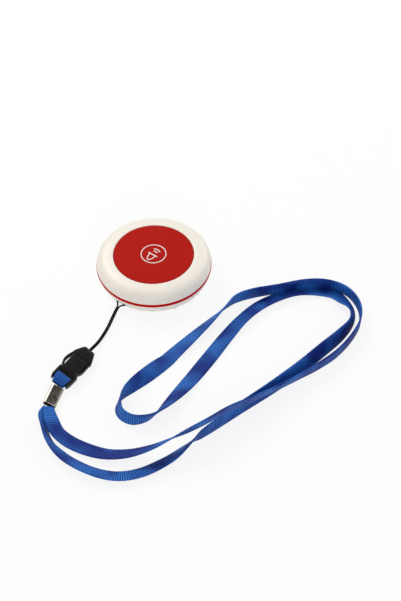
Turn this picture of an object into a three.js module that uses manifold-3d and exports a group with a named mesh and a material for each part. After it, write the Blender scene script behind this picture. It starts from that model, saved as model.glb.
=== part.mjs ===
// Caregiver pager button: a round pendant with one large call key, on a flat woven neck strap.
// Millimetres, +Z up. The origin is the centre of the flat underside, and -Y points at the strap anchor.
import * as THREE from 'three';
import { mergeVertices } from 'three/addons/utils/BufferGeometryUtils.js';
import Module from 'manifold-3d';

const wasm = await Module();
wasm.setup();

// Driving dimensions of the case
const CASE_RADIUS = 30;
const CASE_HEIGHT = 16;
const WALL = 1.6;
const FOOT_RADIUS = 19;
const RING_MIDDLE_Z = 8.5;
const RING_HEIGHT = 1.8;
const RING_DEPTH = 1.6;
const RING_INSET = 0.35;
const SHOULDER_RADIUS = 24.6;
const SEAM_CLEARANCE = 0.02;

// Call key and its printed symbol
const KEY_RADIUS = 21;
const KEY_CLEARANCE = 0.35;
const KEY_THICKNESS = 1.6;
const KEY_FLANGE_WIDTH = 1.3;
const KEY_FLANGE_HEIGHT = 0.8;
const KEY_TRAVEL = 0.5;
const KEY_BOSS_RADIUS = 2.4;
const LIP_HEIGHT = 1.7;
const LIP_CLEARANCE = 0.3;
const PRINT_HEIGHT = 0.12;
const SYMBOL_RADIUS = 6.7;
const SYMBOL_LINE = 0.7;
const BELL_WIDTH = 4.6;
const BELL_HEIGHT = 4.9;

// Board and what is soldered to it
const BOARD_RADIUS = 22;
const BOARD_THICKNESS = 1.2;
const BOARD_BOTTOM_Z = 6.4;
const BOARD_SCREW_RADIUS = 17.5;
const BOARD_POST_RADIUS = 2.1;
const SWITCH_SIZE = 6.2;
const SWITCH_HEIGHT = 3.5;
const PLUNGER_RADIUS = 1.75;
const PLUNGER_STANDOUT = 1.2;
const PLUNGER_CLEARANCE = 0.15;
const CELL_RADIUS = 10;
const CELL_THICKNESS = 3.2;
const CONTACT_THICKNESS = 0.5;
const CLIP_WIDTH = 8;
const CLIP_THICKNESS = 0.4;
const PART_CLEARANCE = 0.2;

// Screws
const CASE_SCREW_COUNT = 3;
const CASE_SCREW_CIRCLE = 24.9;
const CASE_SCREW_RADIUS = 1;
const CASE_SCREW_HEAD_RADIUS = 1.9;
const CASE_SCREW_HEAD_HEIGHT = 1.3;
const CASE_SCREW_SINK = 0.8;
const CASE_SCREW_BITE = 3;
const CASE_POST_RADIUS = 2;
const BOARD_SCREW_THREAD_RADIUS = 0.8;
const BOARD_SCREW_HEAD_RADIUS = 1.6;
const BOARD_SCREW_HEAD_HEIGHT = 1;
const BOARD_SCREW_LENGTH = 3.6;
const SCREW_CLEARANCE = 0.3;

// Strap anchor: two small holes beside each other in the lower shell, with a bar between them
const ANCHOR_Z = 4;
const ANCHOR_BAR_WIDTH = 2.6;
const ANCHOR_HOLE_WIDTH = 2;
const ANCHOR_HOLE_HEIGHT = 2.2;
const ANCHOR_BAR_DEPTH = 1.8;
const ANCHOR_BLOCK_MARGIN = 1.2;

// Thin cord loop between the anchor and the buckle
const CORD_RADIUS = 0.45;
const CORD_SPREAD = 0.55;
const CORD_SIDES = 8;
const CORD_STEPS = 76;

// Side-release buckle, lying on the table with one long edge lifted
const BUCKLE_X = 6.8;
const BUCKLE_TOP_Y = -63.2;
const BUCKLE_ROLL = 16;
const PLUG_TOP_WIDTH = 6.6;
const PLUG_SHOULDER_WIDTH = 11.4;
const PLUG_HEAD_LENGTH = 6.6;
const PLUG_THICKNESS = 4.2;
const ARM_REACH = 6.7;
const ARM_THICKNESS = 1.2;
const ARM_END = 15.6;
const TONGUE_WIDTH = 2.6;
const TONGUE_THICKNESS = 1.6;
const TONGUE_END = 14;
const SOCKET_WIDTH = 8.4;
const SOCKET_THICKNESS = 5.2;
const SOCKET_START = 7.2;
const SOCKET_WALL = 1;
const FRAME_START = 16.4;
const FRAME_END = 25;
const FRAME_WIDTH = 11.8;
const FRAME_THICKNESS = 4;
const SLOT_START = 18.6;
const SLOT_LENGTH = 2.2;
const STRAP_BAR_LENGTH = 2.2;
const STRAP_BAR_THICKNESS = 2;
const CORD_SLOT_WIDTH = 2.8;
const CORD_SLOT_DEPTH = 3.4;
const CORD_SLOT_HEIGHT = 1.7;

// Neck strap, its crimp and the fold over the buckle's bar
const STRAP_WIDTH = 8;
const STRAP_THICKNESS = 0.9;
const STRAP_STEPS = 80;
const TABLE_CLEARANCE = 0.05;
const FOLD_CLEARANCE = 0.3;
const FOLD_STANDOUT = 0.9;
const CRIMP_OFFSET_X = 1.4;
const CRIMP_LENGTH = 11.6;
const CRIMP_WIDTH = 6.8;
const CRIMP_THICKNESS = 3.4;
const CRIMP_WALL = 0.5;
const CRIMP_HEADING = 18;
const CRIMP_ROLL = 22;

// Route of the cord loop from the buckle to the anchor, along the middle of its two strands: x, y, z
const CORD_ROUTE = [
  [6.8, -65.6, 3.7], [6.5, -61.3, 3.4], [5.9, -56, 2.3], [4.8, -50.5, 1.5], [3.2, -44, 1.2], [1.6, -38.5, 1.6], [0.5, -34, 2.6],
];

// Route of the neck strap from the crimp round and back: x, y, lift off the table, tilt in degrees
const STRAP_ROUTE = [
  [12.2, -102.7, 0.3, 158], [13.1, -105.7, 0.1, 145], [14.9, -109.4, 0, 128], [19, -114, 0, 113], [26.3, -119, 0, 122], [33.5, -121.2, 0, 138],
  [41, -122, 0, 147], [51, -121.2, 0, 151], [60, -118.6, 0, 156], [67, -114.3, 0, 159], [73, -107.5, 0, 158],
  [77.3, -99, 0, 154], [80.2, -90.8, 0, 145], [82.3, -79.8, 0, 120], [83.8, -73.5, 0, 98], [86.5, -62.5, 0, 89],
  [89.6, -50, 0, 83], [94.6, -31.5, 0, 76], [99, -12.3, 0, 68], [101.6, 4, 0, 66], [103.6, 17, 0, 73],
  [103.7, 27, 0, 84], [100.2, 33.8, 0, 68], [93.3, 38.2, 0, 34], [84.3, 41, 0, 14], [75.4, 38.2, 0, 9],
  [68, 31.8, 0, 16], [62.4, 23, 0, 20], [57.8, 12, 0, 18], [56, -0.5, 0, 20], [56, -14, 0, 11],
  [57, -32, 0, 2], [58, -48, 0, 8], [58.5, -62, 0, 28], [58.5, -72.5, 0, 52], [56.6, -80.4, 0, 72],
  [51.4, -85.6, 0, 89], [45, -86.2, 0, 101], [39.9, -82.6, 0, 111], [37.6, -76.5, 0, 96], [38, -68.5, 0, 68],
  [39.4, -57, 0, 38], [40.6, -42, 0, -2], [42.3, -27, 0, -22], [44, -12.5, 0, -42], [45.1, -1.6, 0, -62],
  [46.4, 7.5, 0, -79], [51.2, 15.6, 0, -84], [60, 25.6, 0, -82], [69.3, 36.4, 0, -81], [79, 43, 0, -82],
  [90, 44.6, 0, -85], [100.2, 40, 0, -91], [106.8, 31.2, 0, -95], [109.2, 19, 0, -97], [108.8, 6, 0, -99],
  [106, -6, 0.3, -103], [102.6, -17, 1, -109], [99.4, -27.5, 2.2, -112], [96, -38.5, 4.2, -112],
  [92.4, -49.5, 6.3, -109], [88.8, -60.3, 8.5, -109], [85.5, -71.2, 9.1, -110], [81.4, -81.3, 9, -114],
  [76.6, -89, 7.4, -127], [70.6, -95.8, 4.4, -141], [62.5, -102.8, 1.8, -155], [53, -108.4, 0.5, -164],
  [43, -111.2, 0.1, -171], [33, -112.4, 0.2, -171], [25, -111.6, 0.7, -163], [19.3, -108.5, 1.3, -156],
  [15.6, -105.6, 1.6, -157], [12.7, -102.8, 1.6, -158],
];

// Colours as the pieces look in daylight
const PALETTE = {
  shell: { color: 0xebe7dc, roughness: 0.4, metalness: 0 },
  trim: { color: 0xb00806, roughness: 0.35, metalness: 0 },
  key: { color: 0xac241c, roughness: 0.45, metalness: 0 },
  print: { color: 0xf4f1ea, roughness: 0.6, metalness: 0 },
  board: { color: 0x1c5a38, roughness: 0.6, metalness: 0 },
  black: { color: 0x161517, roughness: 0.5, metalness: 0 },
  ceramic: { color: 0xb79b6a, roughness: 0.6, metalness: 0 },
  nickel: { color: 0xc9c3b8, roughness: 0.25, metalness: 1 },
  steel: { color: 0x9a9a9c, roughness: 0.35, metalness: 1 },
  copper: { color: 0xb06a3c, roughness: 0.35, metalness: 1 },
  webbing: { color: 0x2757b0, roughness: 0.85, metalness: 0 },
};

const TURN = Math.PI * 2;
const radians = THREE.MathUtils.degToRad;
const caseGroup = new THREE.Group();

// Small makers used by every piece

function addPiece(parent, name, finish, geometry) {
  const mesh = new THREE.Mesh(geometry, new THREE.MeshStandardMaterial(PALETTE[finish]));
  mesh.name = name;
  parent.add(mesh);
  return mesh;
}

function toSolid(geometry) {
  const bare = (geometry.index ? geometry.toNonIndexed() : geometry.clone());
  bare.deleteAttribute('normal');
  bare.deleteAttribute('uv');
  const merged = mergeVertices(bare, 1e-5);
  const vertProperties = new Float32Array(merged.attributes.position.array);
  return new wasm.Manifold(new wasm.Mesh({ numProp: 3, vertProperties, triVerts: new Uint32Array(merged.index.array) }));
}

function toGeometry(solid) {
  const mesh = solid.getMesh();
  const geometry = new THREE.BufferGeometry();
  geometry.setAttribute('position', new THREE.BufferAttribute(new Float32Array(mesh.vertProperties), 3));
  geometry.setIndex(new THREE.BufferAttribute(new Uint32Array(mesh.triVerts), 1));
  geometry.computeVertexNormals();
  return geometry;
}

function join(first, ...others) {
  return others.reduce((sum, other) => sum.add(other), first);
}

function cut(first, ...others) {
  return others.reduce((rest, other) => rest.subtract(other), first);
}

// A turned solid from a closed list of [radius, z], which starts and ends at the same place or on the axis
function turned(profile, segments = 60) {
  const geometry = new THREE.LatheGeometry(profile.map(([r, z]) => new THREE.Vector2(r, z)), segments);
  return geometry.rotateX(Math.PI / 2);
}

function disc(radius, lowZ, highZ, x = 0, y = 0, segments = 32) {
  const geometry = new THREE.CylinderGeometry(radius, radius, highZ - lowZ, segments);
  return geometry.rotateX(Math.PI / 2).translate(x, y, (lowZ + highZ) / 2);
}

function block(sizeX, sizeY, sizeZ, x, y, z) {
  return new THREE.BoxGeometry(sizeX, sizeY, sizeZ).translate(x, y, z);
}

// An upright plate from a 2-D outline, between two heights
function plate(shape, lowZ, highZ, curveSegments = 12) {
  const options = { depth: highZ - lowZ, bevelEnabled: false, curveSegments };
  return new THREE.ExtrudeGeometry(shape, options).translate(0, 0, lowZ);
}

function outline(points) {
  return new THREE.Shape(points.map(([x, y]) => new THREE.Vector2(x, y)));
}

// A round stretch of a profile, from one [radius, z] to another, bulging outwards
function roundStretch(from, corner, to, count) {
  const curve = new THREE.QuadraticBezierCurve(
    new THREE.Vector2(...from), new THREE.Vector2(...corner), new THREE.Vector2(...to));
  return curve.getPoints(count).map((point) => [point.x, point.y]);
}

function screwAngles() {
  return Array.from({ length: CASE_SCREW_COUNT }, (_, k) => Math.PI / 2 + (k * TURN) / CASE_SCREW_COUNT);
}

// Heights that several pieces share
const RING_LOW_Z = RING_MIDDLE_Z - RING_HEIGHT / 2;
const RING_HIGH_Z = RING_MIDDLE_Z + RING_HEIGHT / 2;
const OPENING_RADIUS = KEY_RADIUS + KEY_CLEARANCE;
const LIP_UNDERSIDE_Z = CASE_HEIGHT - LIP_HEIGHT;
const FLANGE_TOP_Z = LIP_UNDERSIDE_Z - LIP_CLEARANCE;
const FLANGE_RADIUS = KEY_RADIUS + KEY_FLANGE_WIDTH;
const BOARD_TOP_Z = BOARD_BOTTOM_Z + BOARD_THICKNESS;
const SWITCH_TOP_Z = BOARD_TOP_Z + SWITCH_HEIGHT;
const PLUNGER_TOP_Z = SWITCH_TOP_Z + PLUNGER_STANDOUT;
const CELL_TOP_Z = BOARD_BOTTOM_Z - CONTACT_THICKNESS - PART_CLEARANCE;
const CELL_LOW_Z = CELL_TOP_Z - CELL_THICKNESS;
const SHELL_EDGE_RADIUS = CASE_RADIUS - RING_INSET;
const INNER_RADIUS = SHELL_EDGE_RADIUS - WALL - 0.2;
const UPPER_CAVITY_TOP_Z = CASE_HEIGHT - LIP_HEIGHT;
const CASE_POST_SPLIT_Z = RING_MIDDLE_Z;

// Lower shell: a shallow bowl with screw posts, board posts and the strap anchor

function lowerShell() {
  const edge = RING_LOW_Z - SEAM_CLEARANCE;
  const outside = [
    [FOOT_RADIUS, 0],
    ...roundStretch([FOOT_RADIUS + 5, 0.25], [SHELL_EDGE_RADIUS - 1, 1.2], [SHELL_EDGE_RADIUS, edge], 9),
  ];
  const inside = [
    [INNER_RADIUS, edge],
    ...roundStretch([INNER_RADIUS, edge - 1.5], [INNER_RADIUS - 0.8, WALL + 0.6], [FOOT_RADIUS + 3.5, WALL], 6),
  ];
  let solid = toSolid(turned([[0, 0], ...outside, ...inside, [0, WALL], [0, 0]]));
  for (const angle of screwAngles()) {
    const x = CASE_SCREW_CIRCLE * Math.cos(angle);
    const y = CASE_SCREW_CIRCLE * Math.sin(angle);
    solid = join(solid, toSolid(disc(CASE_POST_RADIUS + 0.7, WALL - 0.4, edge, x, y, 24)));
  }
  const bowl = toSolid(turned([[0, 0], ...outside, [0, edge], [0, 0]]));
  solid = solid.intersect(bowl);
  for (const x of [-BOARD_SCREW_RADIUS, BOARD_SCREW_RADIUS]) {
    const post = toSolid(disc(BOARD_POST_RADIUS, WALL - 0.4, BOARD_BOTTOM_Z, x, 0, 24));
    const bore = toSolid(disc(BOARD_SCREW_THREAD_RADIUS + 0.05, WALL + 0.6, BOARD_BOTTOM_Z + 1, x, 0, 16));
    solid = cut(join(solid, post), bore);
  }
  for (const angle of screwAngles()) {
    const x = CASE_SCREW_CIRCLE * Math.cos(angle);
    const y = CASE_SCREW_CIRCLE * Math.sin(angle);
    const headTop = CASE_SCREW_SINK + CASE_SCREW_HEAD_HEIGHT + 0.02;
    const seat = toSolid(disc(CASE_SCREW_HEAD_RADIUS + SCREW_CLEARANCE, -1, headTop, x, y, 24));
    const hole = toSolid(disc(CASE_SCREW_RADIUS + SCREW_CLEARANCE, -1, edge + 1, x, y, 16));
    solid = cut(solid, seat, hole);
  }
  return withAnchor(solid, bowl, edge);
}

// The anchor is a thick place in the wall with two holes that meet behind a bar
function withAnchor(solid, bowl, edge) {
  const width = ANCHOR_BAR_WIDTH + 2 * ANCHOR_HOLE_WIDTH;
  const front = -CASE_RADIUS;
  const backOfTunnel = front + ANCHOR_BAR_DEPTH + 0.9 + ANCHOR_HOLE_HEIGHT;
  const backOfBlock = backOfTunnel + ANCHOR_BLOCK_MARGIN;
  const depth = backOfBlock - front;
  const middle = (backOfBlock + front) / 2;
  const thickening = toSolid(block(width + 2 * ANCHOR_BLOCK_MARGIN, depth, edge - 0.6, 0, middle, (edge + 0.6) / 2));
  let result = join(solid, thickening.intersect(bowl));
  const tunnelY = backOfTunnel - ANCHOR_HOLE_HEIGHT / 2;
  const tunnel = toSolid(block(width, ANCHOR_HOLE_HEIGHT, ANCHOR_HOLE_HEIGHT, 0, tunnelY, ANCHOR_Z));
  result = cut(result, tunnel);
  for (const side of [-1, 1]) {
    const x = side * (ANCHOR_BAR_WIDTH + ANCHOR_HOLE_WIDTH) / 2;
    const length = backOfTunnel - front + 1;
    const hole = block(ANCHOR_HOLE_WIDTH, length, ANCHOR_HOLE_HEIGHT, x, backOfTunnel - length / 2, ANCHOR_Z);
    result = cut(result, toSolid(hole));
  }
  return result;
}

// Upper shell: a ring-shaped cover with a rounded shoulder, a lip round the key and three screw posts

function upperShell() {
  const edge = RING_HIGH_Z + SEAM_CLEARANCE;
  const shoulderZ = CASE_HEIGHT - 0.15;
  const outside = [
    ...roundStretch([SHELL_EDGE_RADIUS, edge], [SHELL_EDGE_RADIUS - 0.2, CASE_HEIGHT - 1.2], [SHOULDER_RADIUS, shoulderZ], 9),
    [OPENING_RADIUS + 0.8, CASE_HEIGHT],
    [OPENING_RADIUS + 0.35, CASE_HEIGHT - 0.05],
    [OPENING_RADIUS, CASE_HEIGHT - 0.4],
    [OPENING_RADIUS, UPPER_CAVITY_TOP_Z],
  ];
  const inside = [
    ...roundStretch([SHOULDER_RADIUS - 1, UPPER_CAVITY_TOP_Z], [INNER_RADIUS - 0.6, CASE_HEIGHT - 3.2],
      [INNER_RADIUS, edge + 1], 6),
    [INNER_RADIUS, edge],
  ];
  let solid = toSolid(turned([...outside, ...inside, outside[0]]));
  const envelope = toSolid(turned([[0, edge], ...outside.slice(0, 10), [0, shoulderZ], [0, edge]]));
  for (const angle of screwAngles()) {
    const x = CASE_SCREW_CIRCLE * Math.cos(angle);
    const y = CASE_SCREW_CIRCLE * Math.sin(angle);
    const post = toSolid(disc(CASE_POST_RADIUS, CASE_POST_SPLIT_Z, UPPER_CAVITY_TOP_Z + 0.4, x, y, 24));
    const bore = disc(CASE_SCREW_RADIUS + 0.05, CASE_POST_SPLIT_Z - 1, CASE_POST_SPLIT_Z + CASE_SCREW_BITE + 0.4, x, y, 16);
    solid = cut(join(solid, post.intersect(join(envelope, toSolid(disc(CASE_RADIUS - 2, 0, edge + 1))))), toSolid(bore));
  }
  return solid;
}

// Red trim ring that shows as a thin band in the seam between the shells
function trimRing() {
  const outer = CASE_RADIUS;
  const inner = outer - RING_DEPTH - RING_INSET;
  const low = RING_LOW_Z;
  const high = RING_HIGH_Z;
  const bulge = roundStretch([outer - RING_INSET, low], [outer + 0.25, RING_MIDDLE_Z], [outer - RING_INSET, high], 5);
  return turned([[inner, low], ...bulge, [inner, high], [inner, low]]);
}

// Call key: a flat cap with a flange that is kept under the cover's lip, and a boss over the switch
function callKey() {
  const top = CASE_HEIGHT;
  const edgeRound = roundStretch([KEY_RADIUS, top - 0.5], [KEY_RADIUS, top], [KEY_RADIUS - 0.6, top], 4);
  const flangeLow = FLANGE_TOP_Z - KEY_FLANGE_HEIGHT;
  const capLow = top - KEY_THICKNESS;
  const bossLow = PLUNGER_TOP_Z + PART_CLEARANCE;
  return turned([
    [0, bossLow], [KEY_BOSS_RADIUS, bossLow], [KEY_BOSS_RADIUS, capLow], [KEY_RADIUS - 1.4, capLow],
    [KEY_RADIUS - 1.4, flangeLow], [FLANGE_RADIUS, flangeLow], [FLANGE_RADIUS, FLANGE_TOP_Z],
    [KEY_RADIUS, FLANGE_TOP_Z], ...edgeRound, [0, top], [0, bossLow],
  ]);
}

// Printed symbol: a bell in a ring with two sound waves. Its top points at the strap anchor
function symbolRing() {
  const half = SYMBOL_LINE / 2;
  const low = CASE_HEIGHT;
  const high = CASE_HEIGHT + PRINT_HEIGHT;
  const inner = SYMBOL_RADIUS - half;
  const outer = SYMBOL_RADIUS + half;
  return turned([[inner, low], [outer, low], [outer, high], [inner, high], [inner, low]], 40);
}

function symbolBell() {
  const half = BELL_WIDTH / 2;
  const crown = BELL_HEIGHT * 0.62;
  const shape = new THREE.Shape();
  shape.moveTo(-half, 0);
  shape.lineTo(half, 0);
  shape.lineTo(half, 1);
  shape.lineTo(half * 0.72, 1);
  shape.bezierCurveTo(half * 0.62, crown, half * 0.66, BELL_HEIGHT, 0, BELL_HEIGHT);
  shape.bezierCurveTo(-half * 0.66, BELL_HEIGHT, -half * 0.62, crown, -half * 0.72, 1);
  shape.lineTo(-half, 1);
  const window = new THREE.Path();
  window.moveTo(-half * 0.4, 1.15);
  window.bezierCurveTo(-half * 0.3, crown, -half * 0.36, BELL_HEIGHT - 0.7, 0, BELL_HEIGHT - 0.7);
  window.bezierCurveTo(half * 0.36, BELL_HEIGHT - 0.7, half * 0.3, crown, half * 0.4, 1.15);
  shape.holes.push(window);
  const geometry = plate(shape, CASE_HEIGHT, CASE_HEIGHT + PRINT_HEIGHT, 8);
  return geometry.translate(0, -BELL_HEIGHT / 2, 0).rotateZ(Math.PI);
}

function symbolWave(side) {
  const radius = SYMBOL_RADIUS - 2.1;
  const half = SYMBOL_LINE * 0.4;
  const middle = side > 0 ? 0 : Math.PI;
  const shape = new THREE.Shape();
  shape.absarc(0, 0, radius + half, middle - 0.5, middle + 0.5, false);
  shape.absarc(0, 0, radius - half, middle + 0.5, middle - 0.5, true);
  return plate(shape, CASE_HEIGHT, CASE_HEIGHT + PRINT_HEIGHT, 8);
}

// Board, switch, cell and the small parts

function circuitBoard() {
  let solid = toSolid(disc(BOARD_RADIUS, BOARD_BOTTOM_Z, BOARD_TOP_Z, 0, 0, 48));
  for (const x of [-BOARD_SCREW_RADIUS, BOARD_SCREW_RADIUS]) {
    const hole = disc(BOARD_SCREW_THREAD_RADIUS + SCREW_CLEARANCE, BOARD_BOTTOM_Z - 1, BOARD_TOP_Z + 1, x, 0, 16);
    solid = cut(solid, toSolid(hole));
  }
  return solid;
}

function switchBody() {
  const body = toSolid(block(SWITCH_SIZE, SWITCH_SIZE, SWITCH_HEIGHT, 0, 0, BOARD_TOP_Z + SWITCH_HEIGHT / 2));
  const wellDepth = KEY_TRAVEL + 1.1;
  const well = disc(PLUNGER_RADIUS + PLUNGER_CLEARANCE, SWITCH_TOP_Z - wellDepth, SWITCH_TOP_Z + 1, 0, 0, 24);
  return cut(body, toSolid(well));
}

function clipStrap() {
  const half = CELL_RADIUS + PART_CLEARANCE + CLIP_THICKNESS;
  const inner = half - CLIP_THICKNESS;
  const low = CELL_LOW_Z - PART_CLEARANCE / 2 - CLIP_THICKNESS;
  const floor = low + CLIP_THICKNESS;
  const foot = half + 1.4;
  const top = BOARD_BOTTOM_Z;
  const shape = outline([
    [-half, low], [half, low], [half, top - CLIP_THICKNESS], [foot, top - CLIP_THICKNESS], [foot, top],
    [inner, top], [inner, floor], [-inner, floor], [-inner, top], [-foot, top],
    [-foot, top - CLIP_THICKNESS], [-half, top - CLIP_THICKNESS],
  ]);
  const geometry = new THREE.ExtrudeGeometry(shape, { depth: CLIP_WIDTH, bevelEnabled: false });
  return geometry.translate(0, 0, -CLIP_WIDTH / 2).rotateX(Math.PI / 2).rotateZ(Math.PI / 2);
}

function screw(x, y, headLow, headHeight, headRadius, shankRadius, tipZ, headDown) {
  const headHigh = headLow + headHeight;
  const slot = headHeight * 0.5;
  const driver = headRadius * 0.45;
  if (headDown) {
    return turned([
      [0, headLow + slot], [driver, headLow + slot], [driver, headLow], [headRadius, headLow],
      [headRadius, headHigh], [shankRadius, headHigh], [shankRadius, tipZ - 0.5], [0, tipZ],
      [0, headLow + slot],
    ], 20).translate(x, y, 0);
  }
  return turned([
    [0, tipZ], [shankRadius, tipZ + 0.5], [shankRadius, headLow], [headRadius, headLow],
    [headRadius, headHigh], [driver, headHigh], [driver, headHigh - slot], [0, headHigh - slot],
    [0, tipZ],
  ], 20).translate(x, y, 0);
}

function antennaWire() {
  const radius = BOARD_RADIUS - 1.5;
  const wire = 0.45;
  const path = new THREE.CatmullRomCurve3(Array.from({ length: 13 }, (_, k) => {
    const angle = radians(20 + k * (140 / 12));
    return new THREE.Vector3(radius * Math.cos(angle), radius * Math.sin(angle), BOARD_TOP_Z + wire + 0.02);
  }));
  return new THREE.ExtrudeGeometry(roundSection(wire, 8), { steps: 24, bevelEnabled: false, extrudePath: path });
}

function roundSection(radius, sides) {
  return outline(Array.from({ length: sides }, (_, k) => {
    const angle = (k * TURN) / sides;
    return [radius * Math.cos(angle), radius * Math.sin(angle)];
  }));
}

// Cord loop: both strands side by side, through the anchor's two holes and behind its bar
function cordLoop() {
  const holeX = (ANCHOR_BAR_WIDTH + ANCHOR_HOLE_WIDTH) / 2;
  const front = -CASE_RADIUS - CORD_RADIUS - 0.35;
  const back = -CASE_RADIUS + ANCHOR_BAR_DEPTH + 0.9 + ANCHOR_HOLE_HEIGHT / 2;
  const strand = (side) => CORD_ROUTE.map(([x, y, z]) => new THREE.Vector3(x + side * CORD_SPREAD, y, z));
  const hitch = (side) => [
    new THREE.Vector3(side * (CORD_SPREAD + 0.25), front - 1.1, ANCHOR_Z - 0.5),
    new THREE.Vector3(side * holeX * 0.8, front + 0.2, ANCHOR_Z),
    new THREE.Vector3(side * (holeX + 0.25), front + 2, ANCHOR_Z),
    new THREE.Vector3(side * holeX * 0.75, back, ANCHOR_Z),
  ];
  const points = [...strand(-1), ...hitch(-1), ...hitch(1).reverse(), ...strand(1).reverse()];
  const path = new THREE.CatmullRomCurve3(points, false, 'centripetal');
  const options = { steps: CORD_STEPS, bevelEnabled: false, extrudePath: path };
  return new THREE.ExtrudeGeometry(roundSection(CORD_RADIUS, CORD_SIDES), options);
}

// Buckle pieces are drawn flat, x across and y along from the cord end, and then laid in place

const buckleGroup = new THREE.Group();

function buckleHeight() {
  const half = FRAME_WIDTH / 2;
  const tilt = radians(BUCKLE_ROLL);
  return Math.max(
    half * Math.sin(tilt) + (FRAME_THICKNESS / 2) * Math.cos(tilt),
    ARM_REACH * Math.sin(tilt) + (ARM_THICKNESS / 2 + 1.2) * Math.cos(tilt),
    (SOCKET_WIDTH / 2) * Math.sin(tilt) + (SOCKET_THICKNESS / 2) * Math.cos(tilt),
  ) + TABLE_CLEARANCE;
}

function flat(points, thickness) {
  return plate(outline(points), -thickness / 2, thickness / 2);
}

function mirrored(points) {
  return [...points, ...points.map(([x, y]) => [-x, y]).reverse()];
}

function bucklePlug() {
  const top = PLUG_TOP_WIDTH / 2;
  const shoulder = PLUG_SHOULDER_WIDTH / 2;
  const neck = PLUG_HEAD_LENGTH;
  const head = mirrored([[top - 0.4, 0], [top, 0.4], [shoulder, neck - 1.2], [shoulder - 0.2, neck]]);
  let solid = toSolid(flat(head, PLUG_THICKNESS));
  const tongue = mirrored([[TONGUE_WIDTH / 2, neck - 0.5], [TONGUE_WIDTH / 2, TONGUE_END - 1], [0.6, TONGUE_END]]);
  solid = join(solid, toSolid(flat(tongue, TONGUE_THICKNESS)));
  for (const side of [-1, 1]) {
    const outer = new THREE.CatmullRomCurve3([
      [shoulder - 0.3, neck - 1], [ARM_REACH - 0.35, neck + 2.6], [ARM_REACH, neck + 5.2],
      [ARM_REACH - 0.5, neck + 7.4], [ARM_REACH - 1.5, ARM_END],
    ].map(([x, y]) => new THREE.Vector3(x, y, 0))).getPoints(14);
    const inner = new THREE.CatmullRomCurve3([
      [shoulder - 0.3 - ARM_THICKNESS, neck - 1], [ARM_REACH - 0.35 - ARM_THICKNESS, neck + 2.8],
      [ARM_REACH - ARM_THICKNESS, neck + 5.2], [ARM_REACH - 0.5 - ARM_THICKNESS, neck + 7.2],
      [ARM_REACH - 1.9, ARM_END - 0.4],
    ].map(([x, y]) => new THREE.Vector3(x, y, 0))).getPoints(14).reverse();
    const arm = [...outer, ...inner].map((point) => [side * point.x, point.y]);
    solid = join(solid, toSolid(flat(side > 0 ? arm : arm.reverse(), ARM_THICKNESS + 1.6)));
  }
  const slot = block(CORD_SLOT_WIDTH, CORD_SLOT_DEPTH + 1, CORD_SLOT_HEIGHT, 0, CORD_SLOT_DEPTH / 2 - 0.5, 0);
  return cut(solid, toSolid(slot));
}

function buckleSocket() {
  const half = SOCKET_WIDTH / 2;
  const frame = FRAME_WIDTH / 2;
  const sleeve = [[half - 0.5, SOCKET_START], [half, SOCKET_START + 0.6], [half, FRAME_START + 0.5]];
  let solid = toSolid(flat(mirrored(sleeve), SOCKET_THICKNESS));
  const collar = [[frame - 0.5, FRAME_START], [frame, FRAME_START + 0.5], [frame, FRAME_END - 1.4], [frame - 1.1, FRAME_END]];
  solid = join(solid, toSolid(flat(mirrored(collar), FRAME_THICKNESS)));
  const cavityHalf = half - SOCKET_WALL;
  const cavityLength = FRAME_START - SOCKET_START + 1;
  const cavityHeight = SOCKET_THICKNESS - 2 * SOCKET_WALL;
  const cavity = block(2 * cavityHalf, cavityLength, cavityHeight, 0, SOCKET_START - 1 + cavityLength / 2, 0);
  const slotWidth = STRAP_WIDTH + 2 * FOLD_CLEARANCE;
  const slot = block(slotWidth, SLOT_LENGTH, FRAME_THICKNESS + 1, 0, SLOT_START + SLOT_LENGTH / 2, 0);
  const barEnd = SLOT_START + SLOT_LENGTH + STRAP_BAR_LENGTH;
  const mouth = block(slotWidth, FRAME_END - barEnd + 1, FRAME_THICKNESS + 1, 0, (barEnd + FRAME_END + 1) / 2, 0);
  const thinning = (FRAME_THICKNESS - STRAP_BAR_THICKNESS) / 2;
  const over = STRAP_BAR_THICKNESS / 2 + (thinning + 1) / 2;
  const trims = [-1, 1].map((side) => block(slotWidth, FRAME_END - SLOT_START, thinning + 1, 0,
    (FRAME_END + SLOT_START) / 2, side * over));
  return cut(solid, toSolid(cavity), toSolid(slot), toSolid(mouth), ...trims.map(toSolid));
}

// Webbing folded over the bar, seen from the side as a long loop with open legs
function webbingFold() {
  const barMiddle = SLOT_START + SLOT_LENGTH + STRAP_BAR_LENGTH / 2;
  const reachIn = STRAP_BAR_LENGTH / 2 + FOLD_CLEARANCE;
  const inner = STRAP_BAR_THICKNESS / 2 + FOLD_CLEARANCE;
  const outer = inner + STRAP_THICKNESS;
  const legEnd = foldEnd();
  const pinch = 0.25;
  const shape = outline([
    [barMiddle - reachIn - STRAP_THICKNESS, inner * 0.6], [barMiddle - reachIn, outer], [barMiddle + reachIn, outer],
    [legEnd, pinch + STRAP_THICKNESS], [legEnd, pinch], [barMiddle + reachIn, inner], [barMiddle - reachIn + 0.3, inner],
    [barMiddle - reachIn, inner * 0.5], [barMiddle - reachIn, -inner * 0.5], [barMiddle - reachIn + 0.3, -inner],
    [barMiddle + reachIn, -inner], [legEnd, -pinch], [legEnd, -pinch - STRAP_THICKNESS], [barMiddle + reachIn, -outer],
    [barMiddle - reachIn, -outer], [barMiddle - reachIn - STRAP_THICKNESS, -inner * 0.6],
  ]);
  const geometry = new THREE.ExtrudeGeometry(shape, { depth: STRAP_WIDTH, bevelEnabled: false });
  return geometry.translate(0, 0, -STRAP_WIDTH / 2).rotateY(Math.PI / 2).rotateX(Math.PI / 2);
}

function foldEnd() {
  return FRAME_END + FOLD_STANDOUT;
}

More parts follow.
